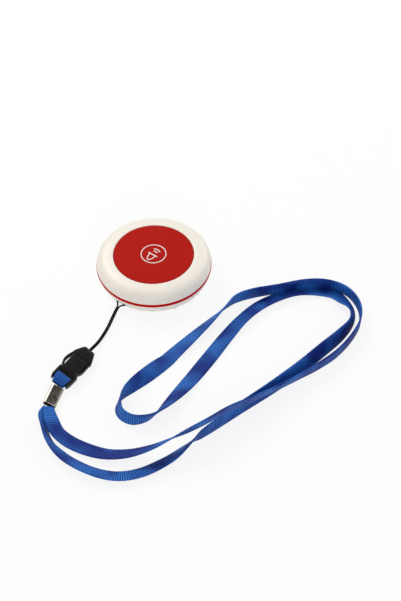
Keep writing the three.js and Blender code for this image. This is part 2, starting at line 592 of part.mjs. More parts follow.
// Crimp: a short flattened sleeve that holds the two ends of the strap
function webbingCrimp() {
  const half = CRIMP_WIDTH / 2;
  const thick = CRIMP_THICKNESS / 2;
  const corner = thick * 0.7;
  const shape = new THREE.Shape();
  shape.moveTo(-half + corner, -thick);
  shape.lineTo(half - corner, -thick);
  shape.quadraticCurveTo(half, -thick, half, 0);
  shape.quadraticCurveTo(half, thick, half - corner, thick);
  shape.lineTo(-half + corner, thick);
  shape.quadraticCurveTo(-half, thick, -half, 0);
  shape.quadraticCurveTo(-half, -thick, -half + corner, -thick);
  const hollow = outline([
    [-half + CRIMP_WALL + 0.3, -thick + CRIMP_WALL], [half - CRIMP_WALL - 0.3, -thick + CRIMP_WALL],
    [half - CRIMP_WALL, 0], [half - CRIMP_WALL - 0.3, thick - CRIMP_WALL],
    [-half + CRIMP_WALL + 0.3, thick - CRIMP_WALL], [-half + CRIMP_WALL, 0],
  ]);
  const solid = toSolid(plate(shape, -CRIMP_LENGTH / 2, CRIMP_LENGTH / 2, 5));
  const core = toSolid(plate(hollow, -CRIMP_LENGTH, CRIMP_LENGTH));
  return toGeometry(cut(solid, core)).rotateX(Math.PI / 2);
}

// The strap's own curve: the route fixes its middle line, and the tilt turns its width about that line

class StrapPath extends THREE.Curve {
  constructor(route) {
    super();
    this.route = route;
    this.ground = new THREE.CatmullRomCurve3(
      route.map(([x, y]) => new THREE.Vector3(x, y, 0)), false, 'catmullrom', 0.5);
  }

  between(t, column) {
    const place = THREE.MathUtils.clamp(t, 0, 1) * (this.route.length - 1);
    const index = Math.min(Math.floor(place), this.route.length - 2);
    return THREE.MathUtils.lerp(this.route[index][column], this.route[index + 1][column], place - index);
  }

  tilt(t) {
    return radians(this.between(t, 3));
  }

  getPoint(t, target = new THREE.Vector3()) {
    this.ground.getPoint(t, target);
    const tilt = this.tilt(t);
    const rest = (STRAP_WIDTH / 2) * Math.abs(Math.sin(tilt)) + (STRAP_THICKNESS / 2) * Math.abs(Math.cos(tilt));
    target.z = rest + TABLE_CLEARANCE + this.between(t, 2);
    return target;
  }

  computeFrenetFrames(segments) {
    const frames = { tangents: [], normals: [], binormals: [] };
    for (let k = 0; k <= segments; k += 1) {
      const tangent = this.getTangentAt(k / segments);
      const tilt = this.tilt(this.getUtoTmapping(k / segments));
      const left = new THREE.Vector3(-tangent.y, tangent.x, 0).normalize();
      const width = left.multiplyScalar(Math.cos(tilt)).add(new THREE.Vector3(0, 0, Math.sin(tilt)));
      width.addScaledVector(tangent, -width.dot(tangent)).normalize();
      frames.tangents.push(tangent);
      frames.normals.push(width);
      frames.binormals.push(new THREE.Vector3().crossVectors(tangent, width));
    }
    return frames;
  }
}

function neckStrap() {
  const half = STRAP_WIDTH / 2;
  const thick = STRAP_THICKNESS / 2;
  const edge = 0.3;
  const section = outline([
    [half, -thick + edge], [half, thick - edge], [half - edge, thick], [-half + edge, thick],
    [-half, thick - edge], [-half, -thick + edge], [-half + edge, -thick], [half - edge, -thick],
  ]);
  const options = { steps: STRAP_STEPS, bevelEnabled: false, extrudePath: new StrapPath(STRAP_ROUTE) };
  return new THREE.ExtrudeGeometry(section, options);
}

// Case and key

addPiece(caseGroup, 'bottom_cover', 'shell', toGeometry(lowerShell()));
addPiece(caseGroup, 'top_cover', 'shell', toGeometry(upperShell()));
addPiece(caseGroup, 'accent_ring', 'trim', trimRing());
addPiece(caseGroup, 'call_key', 'key', callKey());
addPiece(caseGroup, 'symbol_ring', 'print', symbolRing());
addPiece(caseGroup, 'symbol_bell', 'print', symbolBell());
addPiece(caseGroup, 'symbol_wave_left', 'print', symbolWave(-1));
addPiece(caseGroup, 'symbol_wave_right', 'print', symbolWave(1));

// Inside the case

addPiece(caseGroup, 'circuit_board', 'board', toGeometry(circuitBoard()));
addPiece(caseGroup, 'switch_body', 'black', toGeometry(switchBody()));
addPiece(caseGroup, 'switch_plunger', 'ceramic', disc(PLUNGER_RADIUS, SWITCH_TOP_Z - 1, PLUNGER_TOP_Z, 0, 0, 24));
addPiece(caseGroup, 'battery_cell', 'nickel', turned([
  [0, CELL_LOW_Z], [CELL_RADIUS - 0.4, CELL_LOW_Z], [CELL_RADIUS, CELL_LOW_Z + 0.4],
  [CELL_RADIUS, CELL_TOP_Z - 0.7], [CELL_RADIUS - 1.1, CELL_TOP_Z], [0, CELL_TOP_Z], [0, CELL_LOW_Z],
], 32));
addPiece(caseGroup, 'battery_clip', 'steel', clipStrap());
addPiece(caseGroup, 'battery_contact', 'steel',
  disc(CELL_RADIUS * 0.6, BOARD_BOTTOM_Z - CONTACT_THICKNESS, BOARD_BOTTOM_Z, 0, 0, 32));
addPiece(caseGroup, 'encoder_chip', 'black', block(5, 6.2, 1.5, -10.5, 4.5, BOARD_TOP_Z + 0.75));
addPiece(caseGroup, 'radio_chip', 'black', block(4, 4, 1.1, 10, 6, BOARD_TOP_Z + 0.55));
addPiece(caseGroup, 'crystal_can', 'steel', block(7, 3, 1.9, 9.5, -6, BOARD_TOP_Z + 0.95));
addPiece(caseGroup, 'capacitor', 'ceramic', disc(2, BOARD_TOP_Z, BOARD_TOP_Z + 2.8, -9, -8, 24));
addPiece(caseGroup, 'antenna_wire', 'copper', antennaWire());
[-BOARD_SCREW_RADIUS, BOARD_SCREW_RADIUS].forEach((x, k) => {
  const tip = BOARD_TOP_Z - BOARD_SCREW_LENGTH;
  addPiece(caseGroup, `board_screw_${k + 1}`, 'steel', screw(x, 0, BOARD_TOP_Z, BOARD_SCREW_HEAD_HEIGHT,
    BOARD_SCREW_HEAD_RADIUS, BOARD_SCREW_THREAD_RADIUS, tip, false));
});
screwAngles().forEach((angle, k) => {
  const x = CASE_SCREW_CIRCLE * Math.cos(angle);
  const y = CASE_SCREW_CIRCLE * Math.sin(angle);
  addPiece(caseGroup, `case_screw_${k + 1}`, 'steel', screw(x, y, CASE_SCREW_SINK, CASE_SCREW_HEAD_HEIGHT,
    CASE_SCREW_HEAD_RADIUS, CASE_SCREW_RADIUS, CASE_POST_SPLIT_Z + CASE_SCREW_BITE, true));
});

// Lanyard

addPiece(caseGroup, 'cord_loop', 'black', cordLoop());
addPiece(buckleGroup, 'buckle_plug', 'black', toGeometry(bucklePlug()));
addPiece(buckleGroup, 'buckle_socket', 'black', toGeometry(buckleSocket()));
addPiece(buckleGroup, 'webbing_fold', 'webbing', webbingFold());
buckleGroup.position.set(BUCKLE_X, BUCKLE_TOP_Y, buckleHeight());
buckleGroup.rotation.set(Math.PI, radians(BUCKLE_ROLL), 0, 'YXZ');
const crimp = addPiece(caseGroup, 'webbing_crimp', 'nickel', webbingCrimp());
const crimpTilt = radians(CRIMP_ROLL);
const crimpHeading = radians(CRIMP_HEADING);
const crimpTopY = BUCKLE_TOP_Y - foldEnd() - FOLD_CLEARANCE - (CRIMP_WIDTH / 2) * Math.sin(crimpHeading);
crimp.position.set(
  BUCKLE_X + CRIMP_OFFSET_X + (CRIMP_LENGTH / 2) * Math.sin(crimpHeading),
  crimpTopY - (CRIMP_LENGTH / 2) * Math.cos(crimpHeading),
  (CRIMP_WIDTH / 2) * Math.sin(crimpTilt) + (CRIMP_THICKNESS / 2) * Math.cos(crimpTilt) + TABLE_CLEARANCE,
);
crimp.rotation.set(0, crimpTilt, crimpHeading, 'ZYX');
addPiece(caseGroup, 'neck_strap', 'webbing', neckStrap());

const group = new THREE.Group();
group.add(caseGroup, buckleGroup);

export default group;
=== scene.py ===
# %% [markdown]
# Caregiver pager button on a neck strap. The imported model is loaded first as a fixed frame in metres.
# Each finished piece below is built around it, rides on one of its bodies and, where it is the finer
# form of a plain solid, replaces that solid.

# %% Load the frame
import math

import bmesh
import bpy
import numpy as np
from mathutils import Matrix, Vector


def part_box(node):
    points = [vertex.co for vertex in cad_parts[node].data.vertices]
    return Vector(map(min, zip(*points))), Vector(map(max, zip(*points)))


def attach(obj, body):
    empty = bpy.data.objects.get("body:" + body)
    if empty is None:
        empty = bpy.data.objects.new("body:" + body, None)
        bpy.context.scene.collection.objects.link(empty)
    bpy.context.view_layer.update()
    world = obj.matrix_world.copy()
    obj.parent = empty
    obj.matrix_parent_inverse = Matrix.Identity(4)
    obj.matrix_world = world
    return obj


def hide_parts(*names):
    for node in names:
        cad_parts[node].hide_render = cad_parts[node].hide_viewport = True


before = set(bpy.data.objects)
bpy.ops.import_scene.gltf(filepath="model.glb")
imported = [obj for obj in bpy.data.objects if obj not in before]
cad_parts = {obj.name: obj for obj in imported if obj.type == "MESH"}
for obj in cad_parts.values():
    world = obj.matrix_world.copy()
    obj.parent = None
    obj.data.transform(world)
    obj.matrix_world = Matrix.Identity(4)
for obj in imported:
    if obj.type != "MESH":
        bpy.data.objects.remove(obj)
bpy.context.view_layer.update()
MM = 0.001


def link_object(name, data):
    obj = bpy.data.objects.new(name, data)
    bpy.context.scene.collection.objects.link(obj)
    return obj


# %% [markdown]
# The camera stands where the photograph was taken from. The rim of the case is a true circle 60 mm
# across, so the shape of its ellipse gives the pitch, its size gives the distance, and the strap anchor
# at -Y gives the turn about the vertical.

# %% Camera
CAMERA_TURN = math.radians(37)
CAMERA_PITCH = math.radians(47.6)
CAMERA_ROLL = math.radians(-1.49)
CAMERA_PLACE = (416.7 * MM, -513.8 * MM, 703.5 * MM)
FOCAL_PIXELS = 1850
LONG_SIDE_PIXELS = 601
SENSOR = 36

camera_data = bpy.data.cameras.new("camera")
camera_data.sensor_width = SENSOR
camera_data.lens = FOCAL_PIXELS / LONG_SIDE_PIXELS * SENSOR
camera = link_object("camera", camera_data)
camera.matrix_world = (
    Matrix.Translation(CAMERA_PLACE)
    @ Matrix.Rotation(CAMERA_TURN, 4, "Z")
    @ Matrix.Rotation(math.pi / 2 - CAMERA_PITCH, 4, "X")
    @ Matrix.Rotation(CAMERA_ROLL, 4, "Z")
)
bpy.context.scene.camera = camera
print("lens", round(camera_data.lens, 1), "mm")

# %% [markdown]
# Meshes are made from plain lists of points and faces. One helper turns such lists into an object,
# another joins rings of points into a skin, which is how the strap, the turned shells, the crimp and the
# lofted buckle pieces are all made.

# %% Mesh helpers
def make_object(name, points, faces, smooth=True, edges=()):
    mesh = bpy.data.meshes.new(name)
    mesh.from_pydata([tuple(point) for point in points], edges, [tuple(face) for face in faces])
    mesh.validate()
    if smooth:
        mesh.shade_smooth()
    return link_object(name, mesh)


def skin_faces(ring_count, ring_size, closed_rings=False, capped=False):
    """Quads between neighbouring rings of points, each ring closed on itself, and a cap on each end."""
    faces = []
    for ring in range(ring_count if closed_rings else ring_count - 1):
        here = ring * ring_size
        there = ((ring + 1) % ring_count) * ring_size
        for k in range(ring_size):
            after = (k + 1) % ring_size
            faces.append((here + k, here + after, there + after, there + k))
    if capped:
        last = (ring_count - 1) * ring_size
        faces += [tuple(reversed(range(ring_size))), tuple(range(last, last + ring_size))]
    return faces


def fix_normals(obj):
    shape = bmesh.new()
    shape.from_mesh(obj.data)
    bmesh.ops.remove_doubles(shape, verts=shape.verts, dist=1e-7)
    bmesh.ops.recalc_face_normals(shape, faces=shape.faces)
    shape.to_mesh(obj.data)
    shape.free()
    return obj


def loft(name, rings, place):
    """A closed skin over a list of rings, with a flat cap on each end."""
    points = [place @ Vector(point) for ring in rings for point in ring]
    return fix_normals(make_object(name, points, skin_faces(len(rings), len(rings[0]), capped=True)))


def apply_modifiers(obj):
    evaluated = obj.evaluated_get(bpy.context.evaluated_depsgraph_get())
    mesh = bpy.data.meshes.new_from_object(evaluated)
    obj.modifiers.clear()
    obj.data = mesh
    return obj


def carve(obj, cutters, operation="DIFFERENCE"):
    for cutter in cutters:
        modifier = obj.modifiers.new("carve", "BOOLEAN")
        modifier.operation = operation
        modifier.solver = "EXACT"
        modifier.object = cutter
        apply_modifiers(obj)
        bpy.data.objects.remove(cutter)
    return obj


def print_faces(label, *pieces):
    print(label, sum(len(piece.data.polygons) for piece in pieces), "faces")


def smooth_by_angle(obj, angle=30):
    obj.data.shade_smooth()
    edges = obj.data.attributes.get("sharp_edge") or obj.data.attributes.new("sharp_edge", "BOOLEAN", "EDGE")
    shape = bmesh.new()
    shape.from_mesh(obj.data)
    sharp = [len(e.link_faces) == 2 and e.calc_face_angle(0) > math.radians(angle) for e in shape.edges]
    shape.free()
    edges.data.foreach_set("value", sharp)
    return obj


def block(half, low, high, place, middle=0.0):
    """A box between low and high in y and z that reaches half its width to each side of the middle in x."""
    sides = (middle - half, middle + half)
    points = [place @ Vector((x, y, z)) for x in sides for y in (low[0], high[0]) for z in (low[1], high[1])]
    faces = [(0, 1, 3, 2), (4, 6, 7, 5), (0, 4, 5, 1), (2, 3, 7, 6), (0, 2, 6, 4), (1, 5, 7, 3)]
    return fix_normals(make_object("block", points, faces, smooth=False))


# %% [markdown]
# The neck strap is one length of flat ribbed webbing. Both its ends leave the crimp, and between them
# it lies on the table in a long loop, partly flat and partly standing on its edge. A flat band can't be
# made by a round bevel on a curve, so the route gives the middle line, and a tilt at each point turns
# the band about that line. The height follows from the tilt, because the lower edge rests on the table.

# %% Route of the neck strap
STRAP_WIDTH = 8 * MM
STRAP_THICKNESS = 0.9 * MM
TABLE_CLEARANCE = 0.05 * MM
# Each point is x, y and lift off the table in millimetres, and tilt in degrees
STRAP_ROUTE = [
    (12.2, -102.7, 0.3, 158), (13.1, -105.7, 0.1, 145), (14.9, -109.4, 0, 128), (19, -114, 0, 113),
    (26.3, -119, 0, 122), (33.5, -121.2, 0, 138), (41, -122, 0, 147), (51, -121.2, 0, 151),
    (60, -118.6, 0, 156), (67, -114.3, 0, 159), (73, -107.5, 0, 158), (77.3, -99, 0, 154),
    (80.2, -90.8, 0, 145), (82.3, -79.8, 0, 120), (83.8, -73.5, 0, 98), (86.5, -62.5, 0, 89),
    (89.6, -50, 0, 83), (94.6, -31.5, 0, 76), (99, -12.3, 0, 68), (101.6, 4, 0, 66),
    (103.6, 17, 0, 73), (103.7, 27, 0, 84), (100.2, 33.8, 0, 68), (93.3, 38.2, 0, 34),
    (84.3, 41, 0, 14), (75.4, 38.2, 0, 9), (68, 31.8, 0, 16), (62.4, 23, 0, 20),
    (57.8, 12, 0, 18), (56, -0.5, 0, 20), (56, -14, 0, 11), (57, -32, 0, 2),
    (58, -48, 0, 8), (58.5, -62, 0, 28), (58.5, -72.5, 0, 52), (56.6, -80.4, 0, 72),
    (51.4, -85.6, 0, 89), (45, -86.2, 0, 101), (39.9, -82.6, 0, 111), (37.6, -76.5, 0, 96),
    (38, -68.5, 0, 68), (39.4, -57, 0, 38), (40.6, -42, 0, -2), (42.3, -27, 0, -22),
    (44, -12.5, 0, -42), (45.1, -1.6, 0, -62), (46.4, 7.5, 0, -79), (51.2, 15.6, 0, -84),
    (60, 25.6, 0, -82), (69.3, 36.4, 0, -81), (79, 43, 0, -82), (90, 44.6, 0, -85),
    (100.2, 40, 0, -91), (106.8, 31.2, 0, -95), (109.2, 19, 0, -97), (108.8, 6, 0, -99),
    (106, -6, 0.3, -103), (102.6, -17, 1, -109), (99.4, -27.5, 2.2, -112), (96, -38.5, 4.2, -112),
    (92.4, -49.5, 6.3, -109), (88.8, -60.3, 8.5, -109), (85.5, -71.2, 9.1, -110), (81.4, -81.3, 9, -114),
    (76.6, -89, 7.4, -127), (70.6, -95.8, 4.4, -141), (62.5, -102.8, 1.8, -155), (53, -108.4, 0.5, -164),
    (43, -111.2, 0.1, -171), (33, -112.4, 0.2, -171), (25, -111.6, 0.7, -163), (19.3, -108.5, 1.3, -156),
    (15.6, -105.6, 1.6, -157), (12.7, -102.8, 1.6, -158),
]


def smooth_through(rows, steps):
    """A uniform Catmull-Rom curve through rows of numbers, with the ends carried on straight."""
    rows = np.array(rows, float)
    padded = np.vstack([2 * rows[0] - rows[1], rows, 2 * rows[-1] - rows[-2]])
    t = np.linspace(0, 1, steps, endpoint=False)[:, None]
    out = []
    for k in range(len(rows) - 1):
        a, b, c, d = padded[k : k + 4]
        square = 2 * a - 5 * b + 4 * c - d
        cube = 3 * b - a - 3 * c + d
        out.append(0.5 * (2 * b + (c - a) * t + square * t**2 + cube * t**3))
    out.append(rows[-1:])
    return np.vstack(out)


def at_even_steps(points, values, step):
    """The same line with its points and values taken again at even distances."""
    along = np.concatenate([[0], np.cumsum(np.linalg.norm(np.diff(points, axis=0), axis=1))])
    count = max(2, int(round(along[-1] / step)) + 1)
    wanted = np.linspace(0, along[-1], count)
    columns = np.hstack([points, values])
    taken = np.stack([np.interp(wanted, along, column) for column in columns.T], axis=1)
    return taken[:, :3], taken[:, 3:], wanted


def unit(rows):
    return rows / np.linalg.norm(rows, axis=1)[:, None]


def strap_line(step):
    """Middle line, width direction and distance along the strap, in metres."""
    fine = smooth_through(STRAP_ROUTE, 40)
    tilt = np.radians(fine[:, 3])
    rest = STRAP_WIDTH / 2 * np.abs(np.sin(tilt)) + STRAP_THICKNESS / 2 * np.abs(np.cos(tilt))
    height = rest + TABLE_CLEARANCE + np.maximum(fine[:, 2], 0) * MM
    points = np.column_stack([fine[:, :2] * MM, height])
    points, tilt, along = at_even_steps(points, tilt[:, None], step)
    tangent = unit(np.gradient(points, axis=0))
    left = unit(np.column_stack([-tangent[:, 1], tangent[:, 0], np.zeros(len(points))]))
    width = left * np.cos(tilt) + np.array([0, 0, 1]) * np.sin(tilt)
    width = unit(width - (width * tangent).sum(1)[:, None] * tangent)
    return points, tangent, width, along


# %% [markdown]
# Grosgrain is woven with thick weft threads, so its surface is a row of small ribs straight across the
# band. They are real geometry here: the thickness of the band swells and sinks along its length, six
# rings of points to a rib, and the edges step out at each rib where the weft turns round. Both ends are
# squeezed narrower, because the crimp that holds them is narrower than the strap.

# %% Ribbed webbing
RIB_PITCH = 1.05 * MM
RINGS_PER_RIB = 6
RIB_DEPTH = 0.14 * MM
SELVEDGE_STEP = 0.05 * MM
ACROSS = [-1, -0.96, -0.6, -0.2, 0.2, 0.6, 0.96, 1]


def webbing_mesh(name, points, tangent, width, along, widths):
    """A ribbed band with its own map: u runs along it in rib pitches, v across it from 0 to 1."""
    normal = np.cross(tangent, width)
    crest = np.abs(np.sin(math.pi * along / RIB_PITCH)) ** 0.8
    half_thick = STRAP_THICKNESS / 2 - RIB_DEPTH * (1 - crest)
    half_wide = widths / 2 - SELVEDGE_STEP * (1 - crest)
    section = [(a, 1 if abs(a) < 0.99 else 0.4) for a in ACROSS]
    section += [(a, -b) for a, b in reversed(section)]
    rings = []
    for a, b in section:
        rings.append(points + width * (half_wide * a)[:, None] + normal * (half_thick * b)[:, None])
    stacked = np.stack(rings, axis=1)
    count, size = stacked.shape[:2]
    obj = make_object(name, stacked.reshape(-1, 3), skin_faces(count, size, capped=True))
    layer = obj.data.uv_layers.new(name="weave")
    index = np.empty(len(obj.data.loops), dtype=np.int32)
    obj.data.loops.foreach_get("vertex_index", index)
    across = np.array([(a + 1) / 2 for a, _ in section])
    uv = np.column_stack([(along / RIB_PITCH)[index // size], across[index % size]])
    layer.data.foreach_set("uv", uv.astype(np.float32).ravel())
    return obj


# %% Neck strap
PINCH_LENGTH = 9 * MM
PINCHED_WIDTH = 5.6 * MM
strap_points, strap_tangent, strap_width, strap_along = strap_line(RIB_PITCH / RINGS_PER_RIB)
strap_length = strap_along[-1]
from_end = np.minimum(strap_along, strap_length - strap_along)
pinch = np.clip(1 - from_end / PINCH_LENGTH, 0, 1)
pinch = pinch**2 * (3 - 2 * pinch)
strap_widths = STRAP_WIDTH + (PINCHED_WIDTH - STRAP_WIDTH) * pinch
neck_strap = webbing_mesh(
    "neck_strap_webbing", strap_points, strap_tangent, strap_width, strap_along, strap_widths,
)
print("neck strap", round(strap_length, 3), "m long,", len(neck_strap.data.polygons), "faces")

# %% [markdown]
# The cord loop is a thin braided cord. Its two strands run side by side from the buckle to the case,
# go through two small holes and meet behind the bar between them. Its route is near the solid's line, but
# the strands lie closer together and turn in close to the case's wall. The braid is added later.

# %% Route of the cord loop
CORD_RADIUS = 0.45 * MM
CORD_SPREAD = 0.48
CASE_RADIUS = 30.0
ANCHOR_Z = 4.0
ANCHOR_BAR_WIDTH = 2.6
ANCHOR_HOLE_WIDTH = 2.0
ANCHOR_HOLE_HEIGHT = 2.2
ANCHOR_BAR_DEPTH = 1.8
ANCHOR_WALL_INSET = 1.4
TUNNEL_STANDOFF = 0.9
TUNNEL_BACK = -CASE_RADIUS + ANCHOR_BAR_DEPTH + TUNNEL_STANDOFF + ANCHOR_HOLE_HEIGHT
CORD_ROUTE = [
    (6.8, -65.6, 3.7), (6.5, -61.3, 3.4), (5.9, -56, 2.3), (4.8, -50.5, 1.5), (3.2, -44, 1.2),
    (1.6, -38.5, 1.6), (0.5, -34, 2.6),
]


def cord_points():
    hole = (ANCHOR_BAR_WIDTH + ANCHOR_HOLE_WIDTH) / 2
    wall = -CASE_RADIUS + ANCHOR_WALL_INSET
    back = TUNNEL_BACK - ANCHOR_HOLE_HEIGHT / 2

    def strand(side):
        return [(x + side * CORD_SPREAD, y, z) for x, y, z in CORD_ROUTE]

    def hitch(side):
        return [
            (side * (CORD_SPREAD + 0.05), wall - 2.3, ANCHOR_Z - 0.6),
            (side * hole * 0.55, wall - CORD_RADIUS / MM - 0.5, ANCHOR_Z - 0.1),
            (side * (hole + 0.1), wall + 0.2, ANCHOR_Z),
            (side * hole * 0.8, back, ANCHOR_Z),
        ]

    return strand(-1) + hitch(-1) + hitch(1)[::-1] + strand(1)[::-1]


cord_line = smooth_through(cord_points(), 12) * MM
cord_line, _, cord_along = at_even_steps(cord_line, np.zeros((len(cord_line), 1)), 0.25 * MM)
print("cord loop", round(cord_along[-1], 4), "m long")

# %% [markdown]
# Plain sizes of the buckle, fold and crimp. The buckle is drawn flat, x across and y along from its cord
# end, and one transform lays it on the table on its back with the left edge lifted.

# %% Buckle frame of reference
BUCKLE_X = 6.8
BUCKLE_TOP_Y = -63.2
BUCKLE_ROLL = math.radians(16)
ARM_HEIGHT = 2.8
FRAME_END = 25.0
STANDOUT = 0.9
FOLD_CLEARANCE = 0.3
buckle_low, buckle_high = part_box("buckle_socket")
laid = (
    Matrix.Scale(MM, 4)
    @ Matrix.Translation((BUCKLE_X, BUCKLE_TOP_Y, (buckle_low[2] + buckle_high[2]) / 2 / MM))
    @ Matrix.Rotation(BUCKLE_ROLL, 4, "Y")
    @ Matrix.Rotation(math.pi, 4, "X")
)
print("buckle middle", round(laid.translation.z / MM, 2), "mm above the table")


def rounded_ring(half_x, half_z, corner, y, middle_x=0.0, steps=6):
    """One ring of a loft: a rounded rectangle across the piece at distance y."""
    corner = min(corner, half_x * 0.98, half_z * 0.98)
    ring = []
    for quarter, (sx, sz) in enumerate([(1, 1), (-1, 1), (-1, -1), (1, -1)]):
        for k in range(steps):
            angle = (quarter + k / (steps - 1)) * math.pi / 2
            ring.append((
                middle_x + sx * (half_x - corner) + corner * math.cos(angle),
                y,
                sz * (half_z - corner) + corner * math.sin(angle),
            ))
    return ring


ROUND_DEPTH = 0.6


def stations(rows, corner, end_round=0.5, steps=4):
    """Loft rings through [y, half width, half thickness] rows, with softly rounded ends."""
    first, last = rows[0], rows[-1]
    depth = end_round * ROUND_DEPTH

    def rounded_end(row, inwards, order):
        y, half_width, half_thick = row
        rings = []
        for k in order:
            turn = math.pi / 2 * k / steps
            inset = end_round * (1 - math.sin(turn))
            place = y + inwards * depth * (1 - math.cos(turn))
            rings.append(rounded_ring(half_width - inset, half_thick - inset, corner, place))
        return rings

    middle = [
        rounded_ring(half_width, half_thick, corner, min(max(y, first[0] + depth), last[0] - depth))
        for y, half_width, half_thick in rows
    ]
    return rounded_end(first, 1, range(steps)) + middle + rounded_end(last, -1, reversed(range(steps)))


# %% [markdown]
# The plug is the half that the cord is tied to: a wedge-shaped head, a flat tongue, and two springy arms
# that bulge out past the socket and hook into it. Each is lofted from rounded sections and joined. The
# right arm rests closer to the sleeve than the left one.

# %% Buckle plug
# Rows are distance along, half width and half thickness
HEAD_ROWS = [
    (0, 3.3, 1.75), (0.8, 3.5, 2.0), (2.4, 4.25, 2.1), (4.2, 5.1, 2.1), (5.6, 5.65, 2.1), (6.6, 5.7, 2.0),
]
TONGUE_ROWS = [(6.0, 1.3, 0.8), (10, 1.3, 0.8), (13, 1.3, 0.8), (14, 0.8, 0.6)]
ARM_LINE = [(4.8, 5.4), (5.5, 7.8), (5.95, 10), (6.08, 11.8), (5.85, 13.2), (5.35, 14.5), (4.85, 15.4)]
ARM_HALF_WIDTH = 0.6
ARM_ROOT = 5.4
ARM_RUN = 4.0
RIGHT_ARM_PRESSED = 1.0
CORD_SLOT_HALF = 1.4
CORD_SLOT_DEPTH = 3.4
CORD_SLOT_HALF_HEIGHT = 0.85


def arm(side, pressed):
    route = [(x - pressed * min(1, (y - ARM_ROOT) / ARM_RUN), y, 0) for x, y in ARM_LINE]
    line = smooth_through(route, 6)
    tangent = unit(np.gradient(line, axis=0))
    rings = []
    for k, (point, along) in enumerate(zip(line, tangent)):
        across = np.array([along[1], -along[0], 0])
        share = k / (len(line) - 1)
        taper = 1 - 0.35 * max(0, share - 0.85) / 0.15
        flat = rounded_ring(ARM_HALF_WIDTH * taper, ARM_HEIGHT / 2 * taper, 0.35, 0)
        rings.append([tuple(point + across * x + np.array([0, 0, z])) for x, _, z in flat])
    rings = [[(side * x, y, z) for x, y, z in ring] for ring in rings]
    return loft("arm", rings, laid)


buckle_plug = loft("buckle_plug_moulded", stations(HEAD_ROWS, 0.9, 0.6), laid)
pieces = [loft("tongue", stations(TONGUE_ROWS, 0.3, 0.3), laid), arm(-1, 0), arm(1, RIGHT_ARM_PRESSED)]
buckle_plug = carve(buckle_plug, pieces, "UNION")
slot_high = (CORD_SLOT_DEPTH, CORD_SLOT_HALF_HEIGHT)
buckle_plug = carve(buckle_plug, [block(CORD_SLOT_HALF, (-1, -CORD_SLOT_HALF_HEIGHT), slot_high, laid)])
print_faces("buckle plug", buckle_plug)

# %% [markdown]
# The socket is a flat sleeve with a wider frame at its far end. The strap's fold sits in the frame's open
# mouth and goes round its bar. Two fine raised bands mark where the sleeve meets the frame.

# %% Buckle socket
SLEEVE_ROWS = [
    (7.2, 4.0, 2.5), (7.8, 4.2, 2.6), (10, 4.2, 2.6), (13, 4.2, 2.6), (15.9, 4.2, 2.6), (17.2, 4.2, 2.5),
]
FRAME_ROWS = [(16.4, 5.2, 1.9), (17, 5.6, 2.0), (20, 5.6, 2.0), (23, 5.5, 2.0), (24.6, 5.1, 1.8)]
BAND_PLACES = [15.3, 16.1]
STRAP_SLOT_HALF = 4.3
SLOT_START = 18.6
BAR_START = 20.8
BAR_END = 23.0
BAR_HALF_THICK = 1.0
CAVITY_HALF_WIDTH = 3.2
CAVITY_HALF_HEIGHT = 1.6
CAVITY_END = 16.4
PAST_FRAME = FRAME_END + 2
CUT_REACH = 4

sleeve = loft("buckle_socket_moulded", stations(SLEEVE_ROWS, 0.5, 0.4), laid)
bands = [
    loft("band", stations([(y - 0.22, 4.32, 2.7), (y + 0.22, 4.32, 2.7)], 0.9, 0.15, 2), laid)
    for y in BAND_PLACES
]
collar = loft("collar", stations(FRAME_ROWS, 0.8, 0.5), laid)
buckle_socket = carve(sleeve, bands + [collar], "UNION")
cavity = block(
    CAVITY_HALF_WIDTH, (SLEEVE_ROWS[0][0] - 1, -CAVITY_HALF_HEIGHT), (CAVITY_END, CAVITY_HALF_HEIGHT), laid)
slot_cut = block(STRAP_SLOT_HALF, (SLOT_START, -CUT_REACH), (BAR_START, CUT_REACH), laid)
mouth_cut = block(STRAP_SLOT_HALF, (BAR_END, -CUT_REACH), (PAST_FRAME, CUT_REACH), laid)
over = [
    block(STRAP_SLOT_HALF, (SLOT_START - 0.01, low), (PAST_FRAME + 0.01, high), laid)
    for low, high in ((-CUT_REACH, -BAR_HALF_THICK), (BAR_HALF_THICK, CUT_REACH))
]
buckle_socket = carve(buckle_socket, [cavity, slot_cut, mouth_cut] + over)
print_faces("buckle socket", buckle_socket)

# %% [markdown]
# The near end of the strap is folded over the socket's bar, and both its layers go into the crimp. The
# fold is the same ribbed webbing, laid along a line round the bar instead of along the table.

# %% Webbing fold
FOLD_INNER = BAR_HALF_THICK + FOLD_CLEARANCE
LEG_END = FRAME_END + STANDOUT
FOLD_END_WIDTH = 6.3 * MM
half_layer = STRAP_THICKNESS / MM / 2
fold_side = [
    (LEG_END, 0.25 + half_layer), (24.6, 1.05), (BAR_END + 0.1, FOLD_INNER + half_layer),
    (BAR_START + 0.5, FOLD_INNER + half_layer), (BAR_START - 0.35, FOLD_INNER + 0.1),
    (BAR_START - 0.75, 0.55),
]
fold_line = [(0, y, z) for y, z in fold_side] + [(0, y, -z) for y, z in reversed(fold_side)]
fold_points = smooth_through(fold_line, 12)
fold_step = RIB_PITCH / MM / RINGS_PER_RIB
fold_points, _, fold_along = at_even_steps(fold_points, np.zeros((len(fold_points), 1)), fold_step)
fold_tangent = unit(np.gradient(fold_points, axis=0))
fold_width = np.tile([1.0, 0, 0], (len(fold_points), 1))
turn_only = np.array(laid.to_3x3().normalized())
fold_place = fold_points @ turn_only.T * MM + np.array(laid.translation)
leg_share = np.clip((fold_points[:, 1] - BAR_START) / (LEG_END - BAR_START), 0, 1)
fold_widths = STRAP_WIDTH - 0.1 * MM - (STRAP_WIDTH - FOLD_END_WIDTH) * leg_share**2
webbing_fold = webbing_mesh(
    "webbing_fold_woven", fold_place, fold_tangent @ turn_only.T, fold_width @ turn_only.T,
    fold_along * MM, fold_widths,
)
print("webbing fold", round(float(fold_along[-1]), 1), "mm of webbing")

